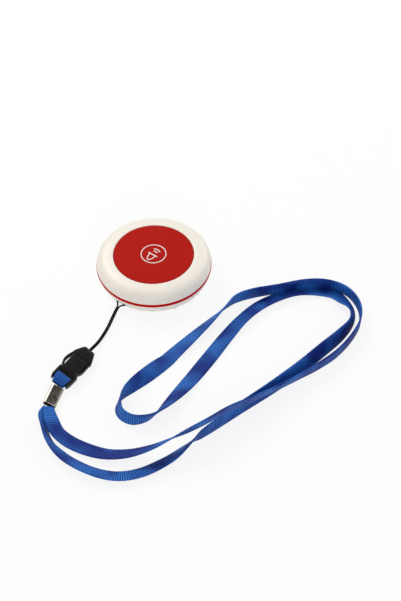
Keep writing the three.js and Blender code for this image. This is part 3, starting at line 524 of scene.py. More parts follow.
# %% [markdown]
# The crimp is a piece of thin plated tube, pressed flat round both ends of the strap. Its wall is drawn as
# a small closed section with rolled rims, carried round the flat oval, and the press leaves two shallow
# dents on each face.

# %% Webbing crimp
CRIMP_LENGTH = 11.6
CRIMP_WIDTH = 6.8
CRIMP_THICKNESS = 3.4
CRIMP_WALL = 0.5
CRIMP_HEADING = math.radians(18)
CRIMP_ROLL = math.radians(22)
CRIMP_OFFSET_X = 1.4
DENT_DEPTH = 0.06
DENT_PLACES = (-2.7, 2.7)
DENT_LENGTH = 1.3
DENT_WIDTH = 2.1
RIM_FLARE = 0.06
OVAL_POWER = 2.0 / 3.4
crimp_low, crimp_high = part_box("webbing_crimp")
crimp_top_y = BUCKLE_TOP_Y - LEG_END - FOLD_CLEARANCE - CRIMP_WIDTH / 2 * math.sin(CRIMP_HEADING)
crimp_middle = Vector((
    BUCKLE_X + CRIMP_OFFSET_X + CRIMP_LENGTH / 2 * math.sin(CRIMP_HEADING),
    crimp_top_y - CRIMP_LENGTH / 2 * math.cos(CRIMP_HEADING),
    (crimp_low[2] + crimp_high[2]) / 2 / MM,
))
crimped = (
    Matrix.Scale(MM, 4)
    @ Matrix.Translation(crimp_middle)
    @ Matrix.Rotation(CRIMP_HEADING, 4, "Z")
    @ Matrix.Rotation(CRIMP_ROLL, 4, "Y")
)


def crimp_outline(steps):
    """Points and outward directions round a flat oval."""
    half_w, half_t = CRIMP_WIDTH / 2, CRIMP_THICKNESS / 2
    angles = np.linspace(0, 2 * math.pi, steps, endpoint=False)
    c, s = np.cos(angles), np.sin(angles)
    across = half_w * np.sign(c) * np.abs(c) ** OVAL_POWER
    upwards = half_t * np.sign(s) * np.abs(s) ** OVAL_POWER
    points = np.column_stack([across, upwards])
    ahead = np.roll(points, -1, axis=0) - np.roll(points, 1, axis=0)
    outward = unit(np.column_stack([ahead[:, 1], -ahead[:, 0]]))
    return points, outward


def crimp_wall():
    """The wall's section: distance along the sleeve and depth below its outside, all the way round."""
    half = CRIMP_LENGTH / 2
    rim = CRIMP_WALL / 2
    outer = [(y, 0.0) for y in np.linspace(-half + rim, half - rim, 41)]
    turns = np.linspace(0, math.pi, 8)[1:-1]
    high = [(half - rim + rim * math.sin(a), rim - rim * math.cos(a)) for a in turns]
    inner = [(y, CRIMP_WALL) for y in np.linspace(half - rim, -half + rim, 41)]
    low = [(-half + rim - rim * math.sin(a), rim + rim * math.cos(a)) for a in turns]
    return outer + high + inner + low


crimp_points, crimp_out = crimp_outline(112)
wall = crimp_wall()
crimp_rings = []
for (x, z), (nx, nz) in zip(crimp_points, crimp_out):
    ring = []
    for y, depth in wall:
        dent = sum(
            math.exp(-(((y - place) / DENT_LENGTH) ** 2) - (x / DENT_WIDTH) ** 2) for place in DENT_PLACES
        )
        flare = RIM_FLARE * (abs(y) / (CRIMP_LENGTH / 2)) ** 8
        press = flare - (DENT_DEPTH * dent if abs(nz) > 0.5 else 0)
        ring.append(crimped @ Vector((x + nx * (press - depth), y, z + nz * (press - depth))))
    crimp_rings.append(ring)
webbing_crimp = fix_normals(make_object(
    "webbing_crimp_pressed",
    [point for ring in crimp_rings for point in ring],
    skin_faces(len(crimp_rings), len(wall), closed_rings=True),
))
print_faces("crimp", webbing_crimp)

# %% [markdown]
# The two shells, the red ring and the call key are turned shapes. Each profile is a few points with
# curves between them, spun in fine steps, so that the outline is smooth from every side.

# %% Turned shapes
TURN_STEPS = 192
CASE_HEIGHT = 16.0
WALL = 1.6
FOOT_RADIUS = 19.0
RING_MIDDLE_Z = 8.5
RING_HEIGHT = 1.8
RING_INSET = 0.35
SHOULDER_RADIUS = 24.6
KEY_RADIUS = 20.75
OPENING_RADIUS = KEY_RADIUS + 0.15
SHELL_EDGE = CASE_RADIUS - RING_INSET
INNER_RADIUS = SHELL_EDGE - WALL - 0.2
RING_LOW_Z = RING_MIDDLE_Z - RING_HEIGHT / 2
RING_HIGH_Z = RING_MIDDLE_Z + RING_HEIGHT / 2


def bend(start, corner, end, steps):
    """A quadratic curve between two points of a profile, pulled towards the corner."""
    t = np.linspace(0, 1, steps + 1)[:, None]
    a, b, c = (np.array(p, float) for p in (start, corner, end))
    return [tuple(p) for p in (1 - t) ** 2 * a + 2 * t * (1 - t) * b + t**2 * c]


def turned(name, profile, steps=TURN_STEPS):
    """A profile of [radius, z] spun about the vertical. Its ends lie on the axis or it closes on itself."""
    on_axis = profile[0][0] == 0
    body = profile[1:-1] if on_axis else profile
    angles = [2 * math.pi * k / steps for k in range(steps)]
    points = [(r * math.cos(a) * MM, r * math.sin(a) * MM, z * MM) for r, z in body for a in angles]
    faces = skin_faces(len(body), steps, closed_rings=not on_axis)
    if on_axis:
        for (_, z), ring in ((profile[0], 0), (profile[-1], len(body) - 1)):
            points.append((0, 0, z * MM))
            tip = len(points) - 1
            faces += [(tip, ring * steps + k, ring * steps + (k + 1) % steps) for k in range(steps)]
    return smooth_by_angle(fix_normals(make_object(name, points, faces)), 28)


def cylinder(radius, low, high, x=0.0, y=0.0, steps=48):
    profile = [(0, low), (radius, low), (radius, high), (0, high)]
    shape = turned("cutter", profile, steps)
    shape.data.transform(Matrix.Translation((x * MM, y * MM, 0)))
    return shape


# %% [markdown]
# The upper shell is a ring with a rounded shoulder. It ends at the key in a small lip, and three posts
# inside it take the screws.

# %% Upper shell
SHOULDER_Z = CASE_HEIGHT - 0.15
SHELL_LIP_ROUND = 0.4
CAVITY_SIDE_TOP_Z = 10.42
UPPER_POST_RADIUS = 2.0
UPPER_BORE_RADIUS = 1.05
UPPER_BORE_TOP_Z = 11.9
CASE_SCREW_CIRCLE = 24.9
screw_places = [
    (CASE_SCREW_CIRCLE * math.cos(a), CASE_SCREW_CIRCLE * math.sin(a))
    for a in (math.pi / 2 + 2 * math.pi * k / 3 for k in range(3))
]
CAVITY_TOP_Z = CASE_HEIGHT - 1.7


def at_screws(radius, low, high, steps=48):
    return [cylinder(radius, low, high, x, y, steps) for x, y in screw_places]


upper_edge = RING_HIGH_Z + 0.02
upper_profile = (
    bend((SHELL_EDGE - 0.12, upper_edge), (SHELL_EDGE, upper_edge), (SHELL_EDGE, upper_edge + 0.14), 3)
    + bend(
        (SHELL_EDGE, upper_edge + 0.2), (SHELL_EDGE - 0.1, CASE_HEIGHT - 1),
        (SHOULDER_RADIUS, SHOULDER_Z), 26,
    )
    + [(OPENING_RADIUS + 1.6, CASE_HEIGHT - 0.03)]
    + bend(
        (OPENING_RADIUS + 2 * SHELL_LIP_ROUND, CASE_HEIGHT), (OPENING_RADIUS, CASE_HEIGHT),
        (OPENING_RADIUS, CASE_HEIGHT - SHELL_LIP_ROUND), 6,
    )
    + [(OPENING_RADIUS, CAVITY_TOP_Z)]
    + bend(
        (SHOULDER_RADIUS - 1, CAVITY_TOP_Z), (INNER_RADIUS - 0.6, CASE_HEIGHT - 3.2),
        (INNER_RADIUS, CAVITY_SIDE_TOP_Z), 10,
    )
    + [(INNER_RADIUS, upper_edge)]
)
upper_shell = turned("top_cover_moulded", upper_profile)
upper_shell = carve(upper_shell, at_screws(UPPER_POST_RADIUS, RING_MIDDLE_Z, CAVITY_TOP_Z + 0.4), "UNION")
upper_shell = carve(upper_shell, at_screws(UPPER_BORE_RADIUS, RING_MIDDLE_Z - 1, UPPER_BORE_TOP_Z))
smooth_by_angle(upper_shell, 28)
print_faces("upper shell", upper_shell)

# %% [markdown]
# The lower shell is a shallow bowl. Boolean cuts make the seats of the three screws and the strap anchor:
# two small holes beside each other that meet behind a bar, where the cord is looped through.

# %% Lower shell
LOWER_POST_RADIUS = 2.7
BOARD_POST_RADIUS = 2.1
BOARD_POST_X = 17.5
BOARD_BOTTOM_Z = 6.4
BOARD_BORE_RADIUS = 0.85
HEAD_SEAT_RADIUS = 2.2
HEAD_SEAT_TOP_Z = 2.12
SCREW_HOLE_RADIUS = 1.3
ANCHOR_BLOCK_MARGIN = 1.2
lower_edge = RING_LOW_Z - 0.02
bowl_side = bend((FOOT_RADIUS + 5, 0.25), (SHELL_EDGE - 1, 1.2), (SHELL_EDGE, lower_edge - 0.14), 24)
bowl_rim = bend((SHELL_EDGE, lower_edge - 0.1), (SHELL_EDGE, lower_edge), (SHELL_EDGE - 0.12, lower_edge), 3)
inside = bend((INNER_RADIUS, 6.08), (INNER_RADIUS - 0.8, WALL + 0.6), (FOOT_RADIUS + 3.5, WALL), 10)
outer_skin = [(0, 0), (FOOT_RADIUS - 0.4, 0), (FOOT_RADIUS + 0.6, 0.03)] + bowl_side + bowl_rim
lower_profile = outer_skin + [(INNER_RADIUS, lower_edge)] + inside + [(0, WALL)]
lower_shell = turned("bottom_cover_moulded", lower_profile)


def within_bowl(shape):
    """A shape trimmed by the bowl's outside, so that it never shows on the outer face."""
    return carve(shape, [turned("bowl", outer_skin + [(0, lower_edge)])], "INTERSECT")


to_metres = Matrix.Scale(MM, 4)
tunnel_half = ANCHOR_BAR_WIDTH / 2 + ANCHOR_HOLE_WIDTH
block_half = tunnel_half + ANCHOR_BLOCK_MARGIN
block_top = lower_edge - 0.01
block_back = TUNNEL_BACK + ANCHOR_BLOCK_MARGIN
posts = [within_bowl(block(block_half, (-CASE_RADIUS, 0.6), (block_back, block_top), to_metres))]
posts += [within_bowl(post) for post in at_screws(LOWER_POST_RADIUS, WALL - 0.4, block_top)]
board_post_places = (-BOARD_POST_X, BOARD_POST_X)
posts += [cylinder(BOARD_POST_RADIUS, WALL - 0.4, BOARD_BOTTOM_Z, x, 0) for x in board_post_places]
lower_shell = carve(lower_shell, posts, "UNION")
cuts = [cylinder(BOARD_BORE_RADIUS, WALL + 0.6, BOARD_BOTTOM_Z + 1, x, 0, 24) for x in board_post_places]
cuts += at_screws(HEAD_SEAT_RADIUS, -1, HEAD_SEAT_TOP_Z) + at_screws(SCREW_HOLE_RADIUS, -1, 9, 32)
hole_low, hole_high = ANCHOR_Z - ANCHOR_HOLE_HEIGHT / 2, ANCHOR_Z + ANCHOR_HOLE_HEIGHT / 2
tunnel_front = TUNNEL_BACK - ANCHOR_HOLE_HEIGHT
cuts.append(block(tunnel_half, (tunnel_front, hole_low), (TUNNEL_BACK, hole_high), to_metres))
for side in (-1, 1):
    middle = side * (ANCHOR_BAR_WIDTH + ANCHOR_HOLE_WIDTH) / 2
    low, high = (-CASE_RADIUS - 1, hole_low), (TUNNEL_BACK - 0.01, hole_high)
    cuts.append(block(ANCHOR_HOLE_WIDTH / 2, low, high, to_metres, middle))
lower_shell = carve(lower_shell, cuts)
smooth_by_angle(lower_shell, 28)
print_faces("lower shell", lower_shell)

# %% [markdown]
# The red ring fills the seam between the shells and stands out a little. The call key is a flat cap
# with a rounded edge, kept under the lip by its flange.

# %% Ring and key
bulge = bend((SHELL_EDGE, RING_LOW_Z), (CASE_RADIUS + 0.1, RING_MIDDLE_Z), (SHELL_EDGE, RING_HIGH_Z), 14)
ring_inside = INNER_RADIUS + 0.2
ring_profile = [(ring_inside, RING_LOW_Z)] + bulge + [(ring_inside, RING_HIGH_Z)]
accent_ring = turned("accent_ring_moulded", ring_profile)
KEY_BOSS_RADIUS = 2.4
KEY_BOSS_LOW_Z = 12.5
KEY_CAP_LOW_Z = 14.4
FLANGE_TOP_Z = CAVITY_TOP_Z - 0.3
FLANGE_LOW_Z = FLANGE_TOP_Z - 0.8
flange_inside = KEY_RADIUS - 1.4
flange_outside = KEY_RADIUS + 1.3
key_edge = bend(
    (KEY_RADIUS, CASE_HEIGHT - 0.5), (KEY_RADIUS, CASE_HEIGHT), (KEY_RADIUS - 0.6, CASE_HEIGHT), 8)
key_profile = [
    (0, KEY_BOSS_LOW_Z), (KEY_BOSS_RADIUS, KEY_BOSS_LOW_Z), (KEY_BOSS_RADIUS, KEY_CAP_LOW_Z),
    (flange_inside, KEY_CAP_LOW_Z), (flange_inside, FLANGE_LOW_Z), (flange_outside, FLANGE_LOW_Z),
    (flange_outside, FLANGE_TOP_Z), (KEY_RADIUS, FLANGE_TOP_Z),
] + key_edge + [(15, CASE_HEIGHT), (9, CASE_HEIGHT), (0, CASE_HEIGHT)]
call_key = turned("call_key_moulded", key_profile)
print_faces("ring and key", accent_ring, call_key)

# %% [markdown]
# The symbol is printed in thick ink: a bell in a ring with two sound waves under it. Each mark is a thin
# closed plate that lies on the key.

# %% Printed symbol
PRINT_HEIGHT = 0.12
SYMBOL_RADIUS = 6.4
SYMBOL_LINE = 0.5
WAVE_RADII = (1.9, 3.5)
WAVE_HALF_LINE = 0.28
WAVE_ANGLES = (55, 125)


def ink_plate(name, outlines):
    """A thin plate on the key from closed outlines in millimetres. Inner outlines are windows."""
    curve = bpy.data.curves.new(name, "CURVE")
    curve.dimensions = "2D"
    curve.fill_mode = "BOTH"
    curve.extrude = PRINT_HEIGHT / 2 * MM
    for points in outlines:
        spline = curve.splines.new("POLY")
        spline.points.add(len(points) - 1)
        for k, (x, y) in enumerate(points):
            spline.points[k].co = (x * MM, y * MM, 0, 1)
        spline.use_cyclic_u = True
    drawn = link_object(name + "_outline", curve)
    bpy.context.view_layer.update()
    mesh = bpy.data.meshes.new_from_object(drawn.evaluated_get(bpy.context.evaluated_depsgraph_get()))
    bpy.data.objects.remove(drawn)
    mesh.transform(Matrix.Translation((0, 0, (CASE_HEIGHT + PRINT_HEIGHT / 2) * MM)))
    return fix_normals(link_object(name, mesh))


def arc(radius, start, end, steps):
    angles = np.radians(np.linspace(start, end, steps))
    return [(radius * math.cos(a), radius * math.sin(a)) for a in angles]


def wave(name, radius):
    """A short arc under the bell, like sound going out from it."""
    outer = arc(radius + WAVE_HALF_LINE, *WAVE_ANGLES, 24)
    inner = arc(radius - WAVE_HALF_LINE, *reversed(WAVE_ANGLES), 24)
    return ink_plate(name, [outer + inner])


BELL_FOOT_Y = -0.3
BELL_TOP_Y = -5.0
BELL_HALF_FOOT = 2.8
BELL_HALF_BODY = 1.75
BELL_LINE = 0.5
BELL_FOOT_TOP_Y = BELL_FOOT_Y - 0.6
dome_out = bend((BELL_HALF_BODY + 0.2, BELL_FOOT_TOP_Y), (BELL_HALF_BODY, BELL_TOP_Y), (0, BELL_TOP_Y), 14)
dome_in = bend(
    (BELL_HALF_BODY - 0.3, BELL_FOOT_TOP_Y), (BELL_HALF_BODY - BELL_LINE, BELL_TOP_Y + 0.6),
    (0, BELL_TOP_Y + 0.55), 14,
)
half_bell = [(BELL_HALF_FOOT, BELL_FOOT_Y), (BELL_HALF_FOOT, BELL_FOOT_TOP_Y)] + dome_out[:-1]
bell_outer = half_bell + dome_out[-1:] + [(-x, y) for x, y in reversed(half_bell)]
bell_window = dome_in + [(-x, y) for x, y in reversed(dome_in[:-1])]
symbol_bell = ink_plate("symbol_bell_ink", [bell_outer, bell_window])
ring_edges = [arc(SYMBOL_RADIUS + side * SYMBOL_LINE / 2, 0, 360, 129)[:-1] for side in (1, -1)]
symbol_ring = ink_plate("symbol_ring_ink", ring_edges)
symbol_waves = [wave("symbol_wave_inner_ink", WAVE_RADII[0]), wave("symbol_wave_outer_ink", WAVE_RADII[1])]
print_faces("symbol", symbol_bell, symbol_ring, *symbol_waves)

# %% [markdown]
# Two things repeat here, so each is made by a small Geometry Nodes tree. The first sets three equal screws
# on a circle under the case. The second braids the cord: rings of short threads are set along its route,
# and every other ring leans the other way.

# %% Geometry Nodes helpers
def start_tree(name, inputs):
    """A node tree with a geometry input, named sizes and a geometry output."""
    tree = bpy.data.node_groups.new(name, "GeometryNodeTree")
    tree.interface.new_socket("Geometry", in_out="INPUT", socket_type="NodeSocketGeometry")
    for label, kind in inputs.items():
        tree.interface.new_socket(label, in_out="INPUT", socket_type="NodeSocket" + kind)
    tree.interface.new_socket("Geometry", in_out="OUTPUT", socket_type="NodeSocketGeometry")
    return tree, tree.nodes.new("NodeGroupInput").outputs, tree.nodes.new("NodeGroupOutput")


def feed(tree, socket, value):
    """Gives an input a plain value, or links it to a socket or to the first output of a node."""
    if isinstance(value, bpy.types.Node):
        value = value.outputs[0]
    if isinstance(value, bpy.types.NodeSocket):
        tree.links.new(value, socket)
    else:
        socket.default_value = value


def add_node(tree, kind, links=(), **settings):
    """A node with its properties set and its inputs linked or given a value."""
    node = tree.nodes.new(kind)
    for key, value in settings.items():
        setattr(node, key, value)
    for key, value in dict(links).items():
        feed(tree, node.inputs[key], value)
    return node


def run_tree(obj, tree, values):
    """Puts the tree on an object, sets its inputs by identifier and turns the result into a plain mesh."""
    modifier = obj.modifiers.new("nodes", "NODES")
    modifier.node_group = tree
    for item in tree.interface.items_tree:
        if item.in_out == "INPUT" and item.name in values:
            modifier[item.identifier] = values[item.name]
    bpy.context.view_layer.update()
    return apply_modifiers(obj)


def end_tree(tree, target, geometry, material):
    realized = add_node(tree, "GeometryNodeRealizeInstances", {"Geometry": geometry})
    painted = add_node(tree, "GeometryNodeSetMaterial", {"Geometry": realized, "Material": material})
    feed(tree, target.inputs[0], painted)


# %% [markdown]
# Finishes. Every material starts from one shader and gets its detail from noise or waves on Object
# coordinates. The webbing reads its own map instead, so that its threads follow the band.

# %% Material helpers
def linear(color):
    """sRGB bytes as the linear colour that the shader takes."""
    return tuple(c / 255 / 12.92 if c <= 10 else ((c / 255 + 0.055) / 1.055) ** 2.4 for c in color) + (1,)


def start_material(name, color, roughness, metallic=0.0, **sockets):
    material = bpy.data.materials.new(name)
    material.use_nodes = True
    shader = material.node_tree.nodes["Principled BSDF"]
    shader.inputs["Base Color"].default_value = linear(color)
    shader.inputs["Roughness"].default_value = roughness
    shader.inputs["Metallic"].default_value = metallic
    for label, value in sockets.items():
        shader.inputs[label.replace("_", " ")].default_value = value
    material.diffuse_color = linear(color)
    return material, material.node_tree, shader


def noise(tree, scale, detail=2.0, vector=None):
    if vector is None:
        vector = add_node(tree, "ShaderNodeTexCoord").outputs["Object"]
    node = add_node(tree, "ShaderNodeTexNoise", {"Vector": vector, "Scale": scale, "Detail": detail})
    return node.outputs["Fac"]


def blend_colors(tree, factor, first, second):
    node = add_node(tree, "ShaderNodeMix", data_type="RGBA")
    feed(tree, node.inputs[0], factor)
    for socket, value in ((node.inputs[6], first), (node.inputs[7], second)):
        feed(tree, socket, linear(value) if isinstance(value, tuple) else value)
    return node.outputs[2]


def math_node(tree, operation, first, second=0.0, third=0.0):
    node = tree.nodes.new("ShaderNodeMath")
    node.operation = operation
    for socket, value in zip(node.inputs, (first, second, third)):
        feed(tree, socket, value)
    return node.outputs[0]


def set_bump(tree, shader, height, strength, distance):
    bump = add_node(tree, "ShaderNodeBump", {"Height": height, "Strength": strength, "Distance": distance})
    feed(tree, shader.inputs["Normal"], bump)


def set_roughness(tree, shader, factor, low, high):
    spread = add_node(tree, "ShaderNodeMapRange", {"Value": factor, "To Min": low, "To Max": high})
    feed(tree, shader.inputs["Roughness"], spread)


# %% [markdown]
# Moulded plastic has a faint spark-eroded grain and slow shifts of tone. The ring is glossier than the
# shells, and the key has a fine matt grain.

# %% Plastic finishes
TONE_SCALE = 55
ROUGHNESS_SPREAD = 0.07
GRAIN_HEIGHT = 0.02 * MM


def moulded_plastic(name, color, shade, roughness, grain_scale, grain, specular=0.5):
    material, tree, shader = start_material(name, color, roughness, Specular_IOR_Level=specular)
    tone = noise(tree, TONE_SCALE, 3)
    tree.links.new(blend_colors(tree, tone, color, shade), shader.inputs["Base Color"])
    fine = noise(tree, grain_scale, 2)
    set_roughness(tree, shader, fine, roughness - ROUGHNESS_SPREAD, roughness + ROUGHNESS_SPREAD)
    set_bump(tree, shader, fine, grain, GRAIN_HEIGHT)
    return material


shell_plastic = moulded_plastic("ivory_shell_plastic", (243, 237, 226), (236, 229, 216), 0.38, 2600, 0.25)
ring_plastic = moulded_plastic("red_ring_plastic", (196, 4, 4), (182, 3, 3), 0.35, 1800, 0.1, 0.04)
key_plastic = moulded_plastic("red_key_plastic", (180, 26, 19), (168, 21, 15), 0.55, 3200, 0.3, 0.05)
ink = moulded_plastic("white_ink", (240, 234, 226), (224, 214, 205), 0.6, 4000, 0.3)
buckle_plastic = moulded_plastic("black_buckle_plastic", (14, 13, 14), (22, 20, 21), 0.42, 2400, 0.3, 0.3)
chip_plastic = moulded_plastic("black_chip_resin", (22, 22, 25), (32, 32, 35), 0.55, 3000, 0.3)
ceramic = moulded_plastic("pale_brown_ceramic", (183, 155, 106), (170, 140, 92), 0.6, 2500, 0.3)
board_lacquer = moulded_plastic("green_board_lacquer", (28, 90, 56), (20, 74, 44), 0.35, 1200, 0.3)
print("plastics made")

# %% [markdown]
# Metal keeps its colour in its reflections. The crimp's soft plating is worn in small patches, and the
# screws and cell have the fine lines of drawn or rolled sheet.

# %% Metal finishes
DRAWN_LINE_SCALE = 5200


def worn_metal(name, color, shade, roughness, patch_scale, bump_strength):
    material, tree, shader = start_material(name, color, roughness, 1.0)
    patches = noise(tree, patch_scale, 5)
    tree.links.new(blend_colors(tree, patches, color, shade), shader.inputs["Base Color"])
    coords = add_node(tree, "ShaderNodeTexCoord").outputs["Object"]
    stretched = add_node(tree, "ShaderNodeMapping", {"Vector": coords, "Scale": (1.0, 0.08, 1.0)})
    lines = noise(tree, DRAWN_LINE_SCALE, 3, stretched)
    set_roughness(tree, shader, patches, roughness - 0.08, roughness + 0.14)
    set_bump(tree, shader, lines, bump_strength, GRAIN_HEIGHT)
    return material


nickel = worn_metal("crimp_nickel", (206, 198, 184), (196, 187, 172), 0.2, 500, 0.02)
cell_nickel = worn_metal("cell_nickel", (205, 203, 200), (180, 178, 175), 0.25, 500, 0.3)
steel = worn_metal("zinc_steel", (176, 176, 180), (150, 150, 156), 0.32, 1400, 0.3)
copper = worn_metal("enamelled_copper", (184, 112, 70), (150, 84, 48), 0.3, 1400, 0.2)
print("metals made")

# %% [markdown]
# Grosgrain: thick weft ribs run across the band, and fine warp threads bind them. The map's u counts
# ribs and its v crosses the band, so sine waves of u and v give the threads their relief and paint shade
# into the valleys between them. Slow patches of painted highlight and painted shade along the band stand
# for the satin shine of its long warp threads.

# %% Cloth finishes
WARP_THREADS = 26
WARP_RELIEF = 0.35
RELIEF_HEIGHT = 0.06 * MM
SHINE_SCALE = 70
FIBRE_SCALE = 6500


def woven(name, sheen_blue, thread, shaded_blue, valley_shade_blue):
    material, tree, shader = start_material(name, thread, 0.6, Specular_IOR_Level=0.2)
    uv = add_node(tree, "ShaderNodeUVMap", uv_map="weave").outputs[0]
    split = add_node(tree, "ShaderNodeSeparateXYZ", {"Vector": uv})
    u, v = split.outputs["X"], split.outputs["Y"]

    def times(first, second):
        return math_node(tree, "MULTIPLY", first, second)

    def plus(first, second):
        return math_node(tree, "ADD", first, second)

    def crests(count):
        """A rounded crest for each thread that is counted."""
        return math_node(tree, "ABSOLUTE", math_node(tree, "SINE", times(count, math.pi)))

    every_other = times(math_node(tree, "FLOOR", u), 0.5)
    warp = crests(plus(times(v, WARP_THREADS), every_other))
    relief = plus(crests(u), times(warp, WARP_RELIEF))
    fibre = noise(tree, FIBRE_SCALE, 2)
    # Slow noise mixes a blue with painted shade and a blue with painted highlight, a painted satin sheen
    patches = add_node(tree, "ShaderNodeMapRange", {
        "Value": noise(tree, SHINE_SCALE, 1), "From Min": 0.36, "From Max": 0.64})
    shine = blend_colors(tree, patches, shaded_blue, sheen_blue)
    # Crests of ribs and warp threads take that blue, and the valleys between them get a painted shade
    lit = times(times(relief, relief), 0.6)
    tree.links.new(blend_colors(tree, lit, valley_shade_blue, shine), shader.inputs["Base Color"])
    set_bump(tree, shader, plus(relief, times(fibre, 0.5)), 0.6, RELIEF_HEIGHT)
    return material


# The blues are a painted highlight, the base, a painted shade, and the painted shade of the rib valleys
webbing_cloth = woven("blue_grosgrain", (52, 134, 232), (30, 90, 190), (18, 60, 156), (5, 16, 80))

cord_braid, cord_tree, cord_shader = start_material(
    "black_braided_cord", (12, 11, 12), 0.75, Specular_IOR_Level=0.2)
lint = noise(cord_tree, 3800, 3)
cord_tree.links.new(blend_colors(cord_tree, lint, (9, 8, 9), (26, 24, 26)), cord_shader.inputs["Base Color"])
set_bump(cord_tree, cord_shader, lint, 0.5, 0.03 * MM)
print("cloths made")

# %% [markdown]
# The case screws are made once, head down with a small driver recess, and set on their circle.

# %% Case screws
def screw_profile():
    head_low, head_high, head_r, shank_r = 0.8, 2.1, 1.9, 1.0
    tip = RING_MIDDLE_Z + 3
    head = [(0, head_low + 0.65), (0.75, head_low + 0.65), (0.85, head_low + 0.05), (0.95, head_low)]
    rounding = bend((head_r - 0.4, head_low), (head_r, head_low), (head_r, head_low + 0.4), 4)
    return head + rounding + [(head_r, head_high), (shank_r, head_high), (shank_r, tip - 0.5), (0, tip)]


one_screw = turned("one_screw", screw_profile(), 40)
tree, given, target = start_tree("screws_on_a_circle", {
    "Screw": "Object", "Count": "Int", "Radius": "Float", "First Angle": "Float", "Material": "Material"})
circle = add_node(tree, "GeometryNodeMeshCircle", {"Vertices": given["Count"], "Radius": given["Radius"]})
spin = add_node(tree, "ShaderNodeCombineXYZ", {"Z": given["First Angle"]})
turned_circle = add_node(tree, "GeometryNodeTransform", {"Geometry": circle, "Rotation": spin})
info = add_node(tree, "GeometryNodeObjectInfo", {"Object": given["Screw"]})
placed = add_node(tree, "GeometryNodeInstanceOnPoints", {
    "Points": turned_circle, "Instance": info.outputs["Geometry"]})
end_tree(tree, target, placed, given["Material"])
case_screws = make_object("case_screws_turned", [(0, 0, 0)], [])
run_tree(case_screws, tree, {
    "Screw": one_screw, "Count": len(screw_places), "Radius": CASE_SCREW_CIRCLE * MM,
    "First Angle": math.pi / 2, "Material": steel})
bpy.data.objects.remove(one_screw)
smooth_by_angle(case_screws, 28)
print_faces("case screws", case_screws)

# %% [markdown]
# The cord starts as its bare route. The tree makes a round core along it and covers that with rings of
# threads that lean left and right in turn, as in a braid.

# %% Braided cord
THREADS_ROUND = 7
THREAD_PITCH = 0.42 * MM
THREAD_LEAN = math.radians(38)

tree, given, target = start_tree("braid_along_a_route", {
    "Core Radius": "Float", "Thread Radius": "Float", "Pitch": "Float",
    "Threads Round": "Int", "Lean": "Float", "Material": "Material"})
route = add_node(tree, "GeometryNodeMeshToCurve", {"Mesh": given["Geometry"]})
profile = add_node(tree, "GeometryNodeCurvePrimitiveCircle", {
    "Resolution": 12, "Radius": given["Core Radius"]})
core = add_node(tree, "GeometryNodeCurveToMesh", {
    "Curve": route, "Profile Curve": profile, "Fill Caps": True})
steps = add_node(tree, "GeometryNodeResampleCurve", {"Curve": route, "Length": given["Pitch"]}, mode="LENGTH")
ball = add_node(tree, "GeometryNodeMeshUVSphere", {
    "Segments": 6, "Rings": 4, "Radius": given["Thread Radius"]})
thread = add_node(tree, "GeometryNodeTransform", {"Geometry": ball, "Scale": (0.75, 1.0, 2.5)})
circle = add_node(tree, "GeometryNodeMeshCircle", {
    "Vertices": given["Threads Round"], "Radius": given["Core Radius"]})
number = add_node(tree, "GeometryNodeInputIndex")
angle = math_node(tree, "MULTIPLY", number, math_node(tree, "DIVIDE", 2 * math.pi, given["Threads Round"]))
odd = math_node(tree, "MODULO", number, 2.0)
tangent = add_node(tree, "GeometryNodeInputTangent")
along = add_node(tree, "FunctionNodeAlignRotationToVector", {"Vector": tangent}, axis="Z")
together = tree.nodes.new("GeometryNodeJoinGeometry")
feed(tree, together.inputs[0], core)
for k, sign in enumerate((1.0, -1.0)):
    lean = math_node(tree, "MULTIPLY", given["Lean"], sign)
    facing = add_node(tree, "ShaderNodeCombineXYZ", {"X": lean, "Z": angle})
    ring = add_node(tree, "GeometryNodeInstanceOnPoints", {
        "Points": circle, "Instance": thread, "Rotation": facing})
    wanted = math_node(tree, "COMPARE", odd, float(k), 0.1)
    covered = add_node(tree, "GeometryNodeInstanceOnPoints", {
        "Points": steps, "Selection": wanted, "Instance": ring, "Rotation": along})
    feed(tree, together.inputs[0], covered)
end_tree(tree, target, together, given["Material"])

cord_edges = [(k, k + 1) for k in range(len(cord_line) - 1)]
cord_loop = make_object("cord_loop_braided", cord_line, [], edges=cord_edges)
run_tree(cord_loop, tree, {
    "Core Radius": CORD_RADIUS - 0.1 * MM, "Thread Radius": 0.13 * MM, "Pitch": THREAD_PITCH,
    "Threads Round": THREADS_ROUND, "Lean": THREAD_LEAN, "Material": cord_braid})
cord_loop.data.shade_smooth()
print_faces("cord", cord_loop)

# %% [markdown]
# Finishes go on, and each piece rides on its body. The key and its print move with the key. Everything
# else belongs to the case.

# %% Finishes, bodies and slots
finished_pieces = [
    (upper_shell, shell_plastic, "shell", "case", "top_cover"),
    (lower_shell, shell_plastic, "shell", "case", "bottom_cover"),
    (accent_ring, ring_plastic, "trim", "case", "accent_ring"),
    (call_key, key_plastic, "key", "key", "call_key"),
    (symbol_ring, ink, "print", "key", "symbol_ring"),
    (symbol_bell, ink, "print", "key", "symbol_bell"),
    (symbol_waves[0], ink, "print", "key", "symbol_wave_left"),
    (symbol_waves[1], ink, "print", "key", "symbol_wave_right"),
    (case_screws, steel, "steel", "case", "case_screw_1", "case_screw_2", "case_screw_3"),
    (cord_loop, cord_braid, "cord", "case", "cord_loop"),
    (buckle_plug, buckle_plastic, "black_plastic", "case", "buckle_plug"),
    (buckle_socket, buckle_plastic, "black_plastic", "case", "buckle_socket"),
    (webbing_fold, webbing_cloth, "webbing", "case", "webbing_fold"),
    (webbing_crimp, nickel, "nickel", "case", "webbing_crimp"),
    (neck_strap, webbing_cloth, "webbing", "case", "neck_strap"),
]
for piece, material, slot, body, *nodes in finished_pieces:
    piece.data.materials.clear()
    piece.data.materials.append(material)
    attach(piece, body)
    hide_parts(*nodes)
for piece in (buckle_plug, buckle_socket):
    smooth_by_angle(piece, 32)

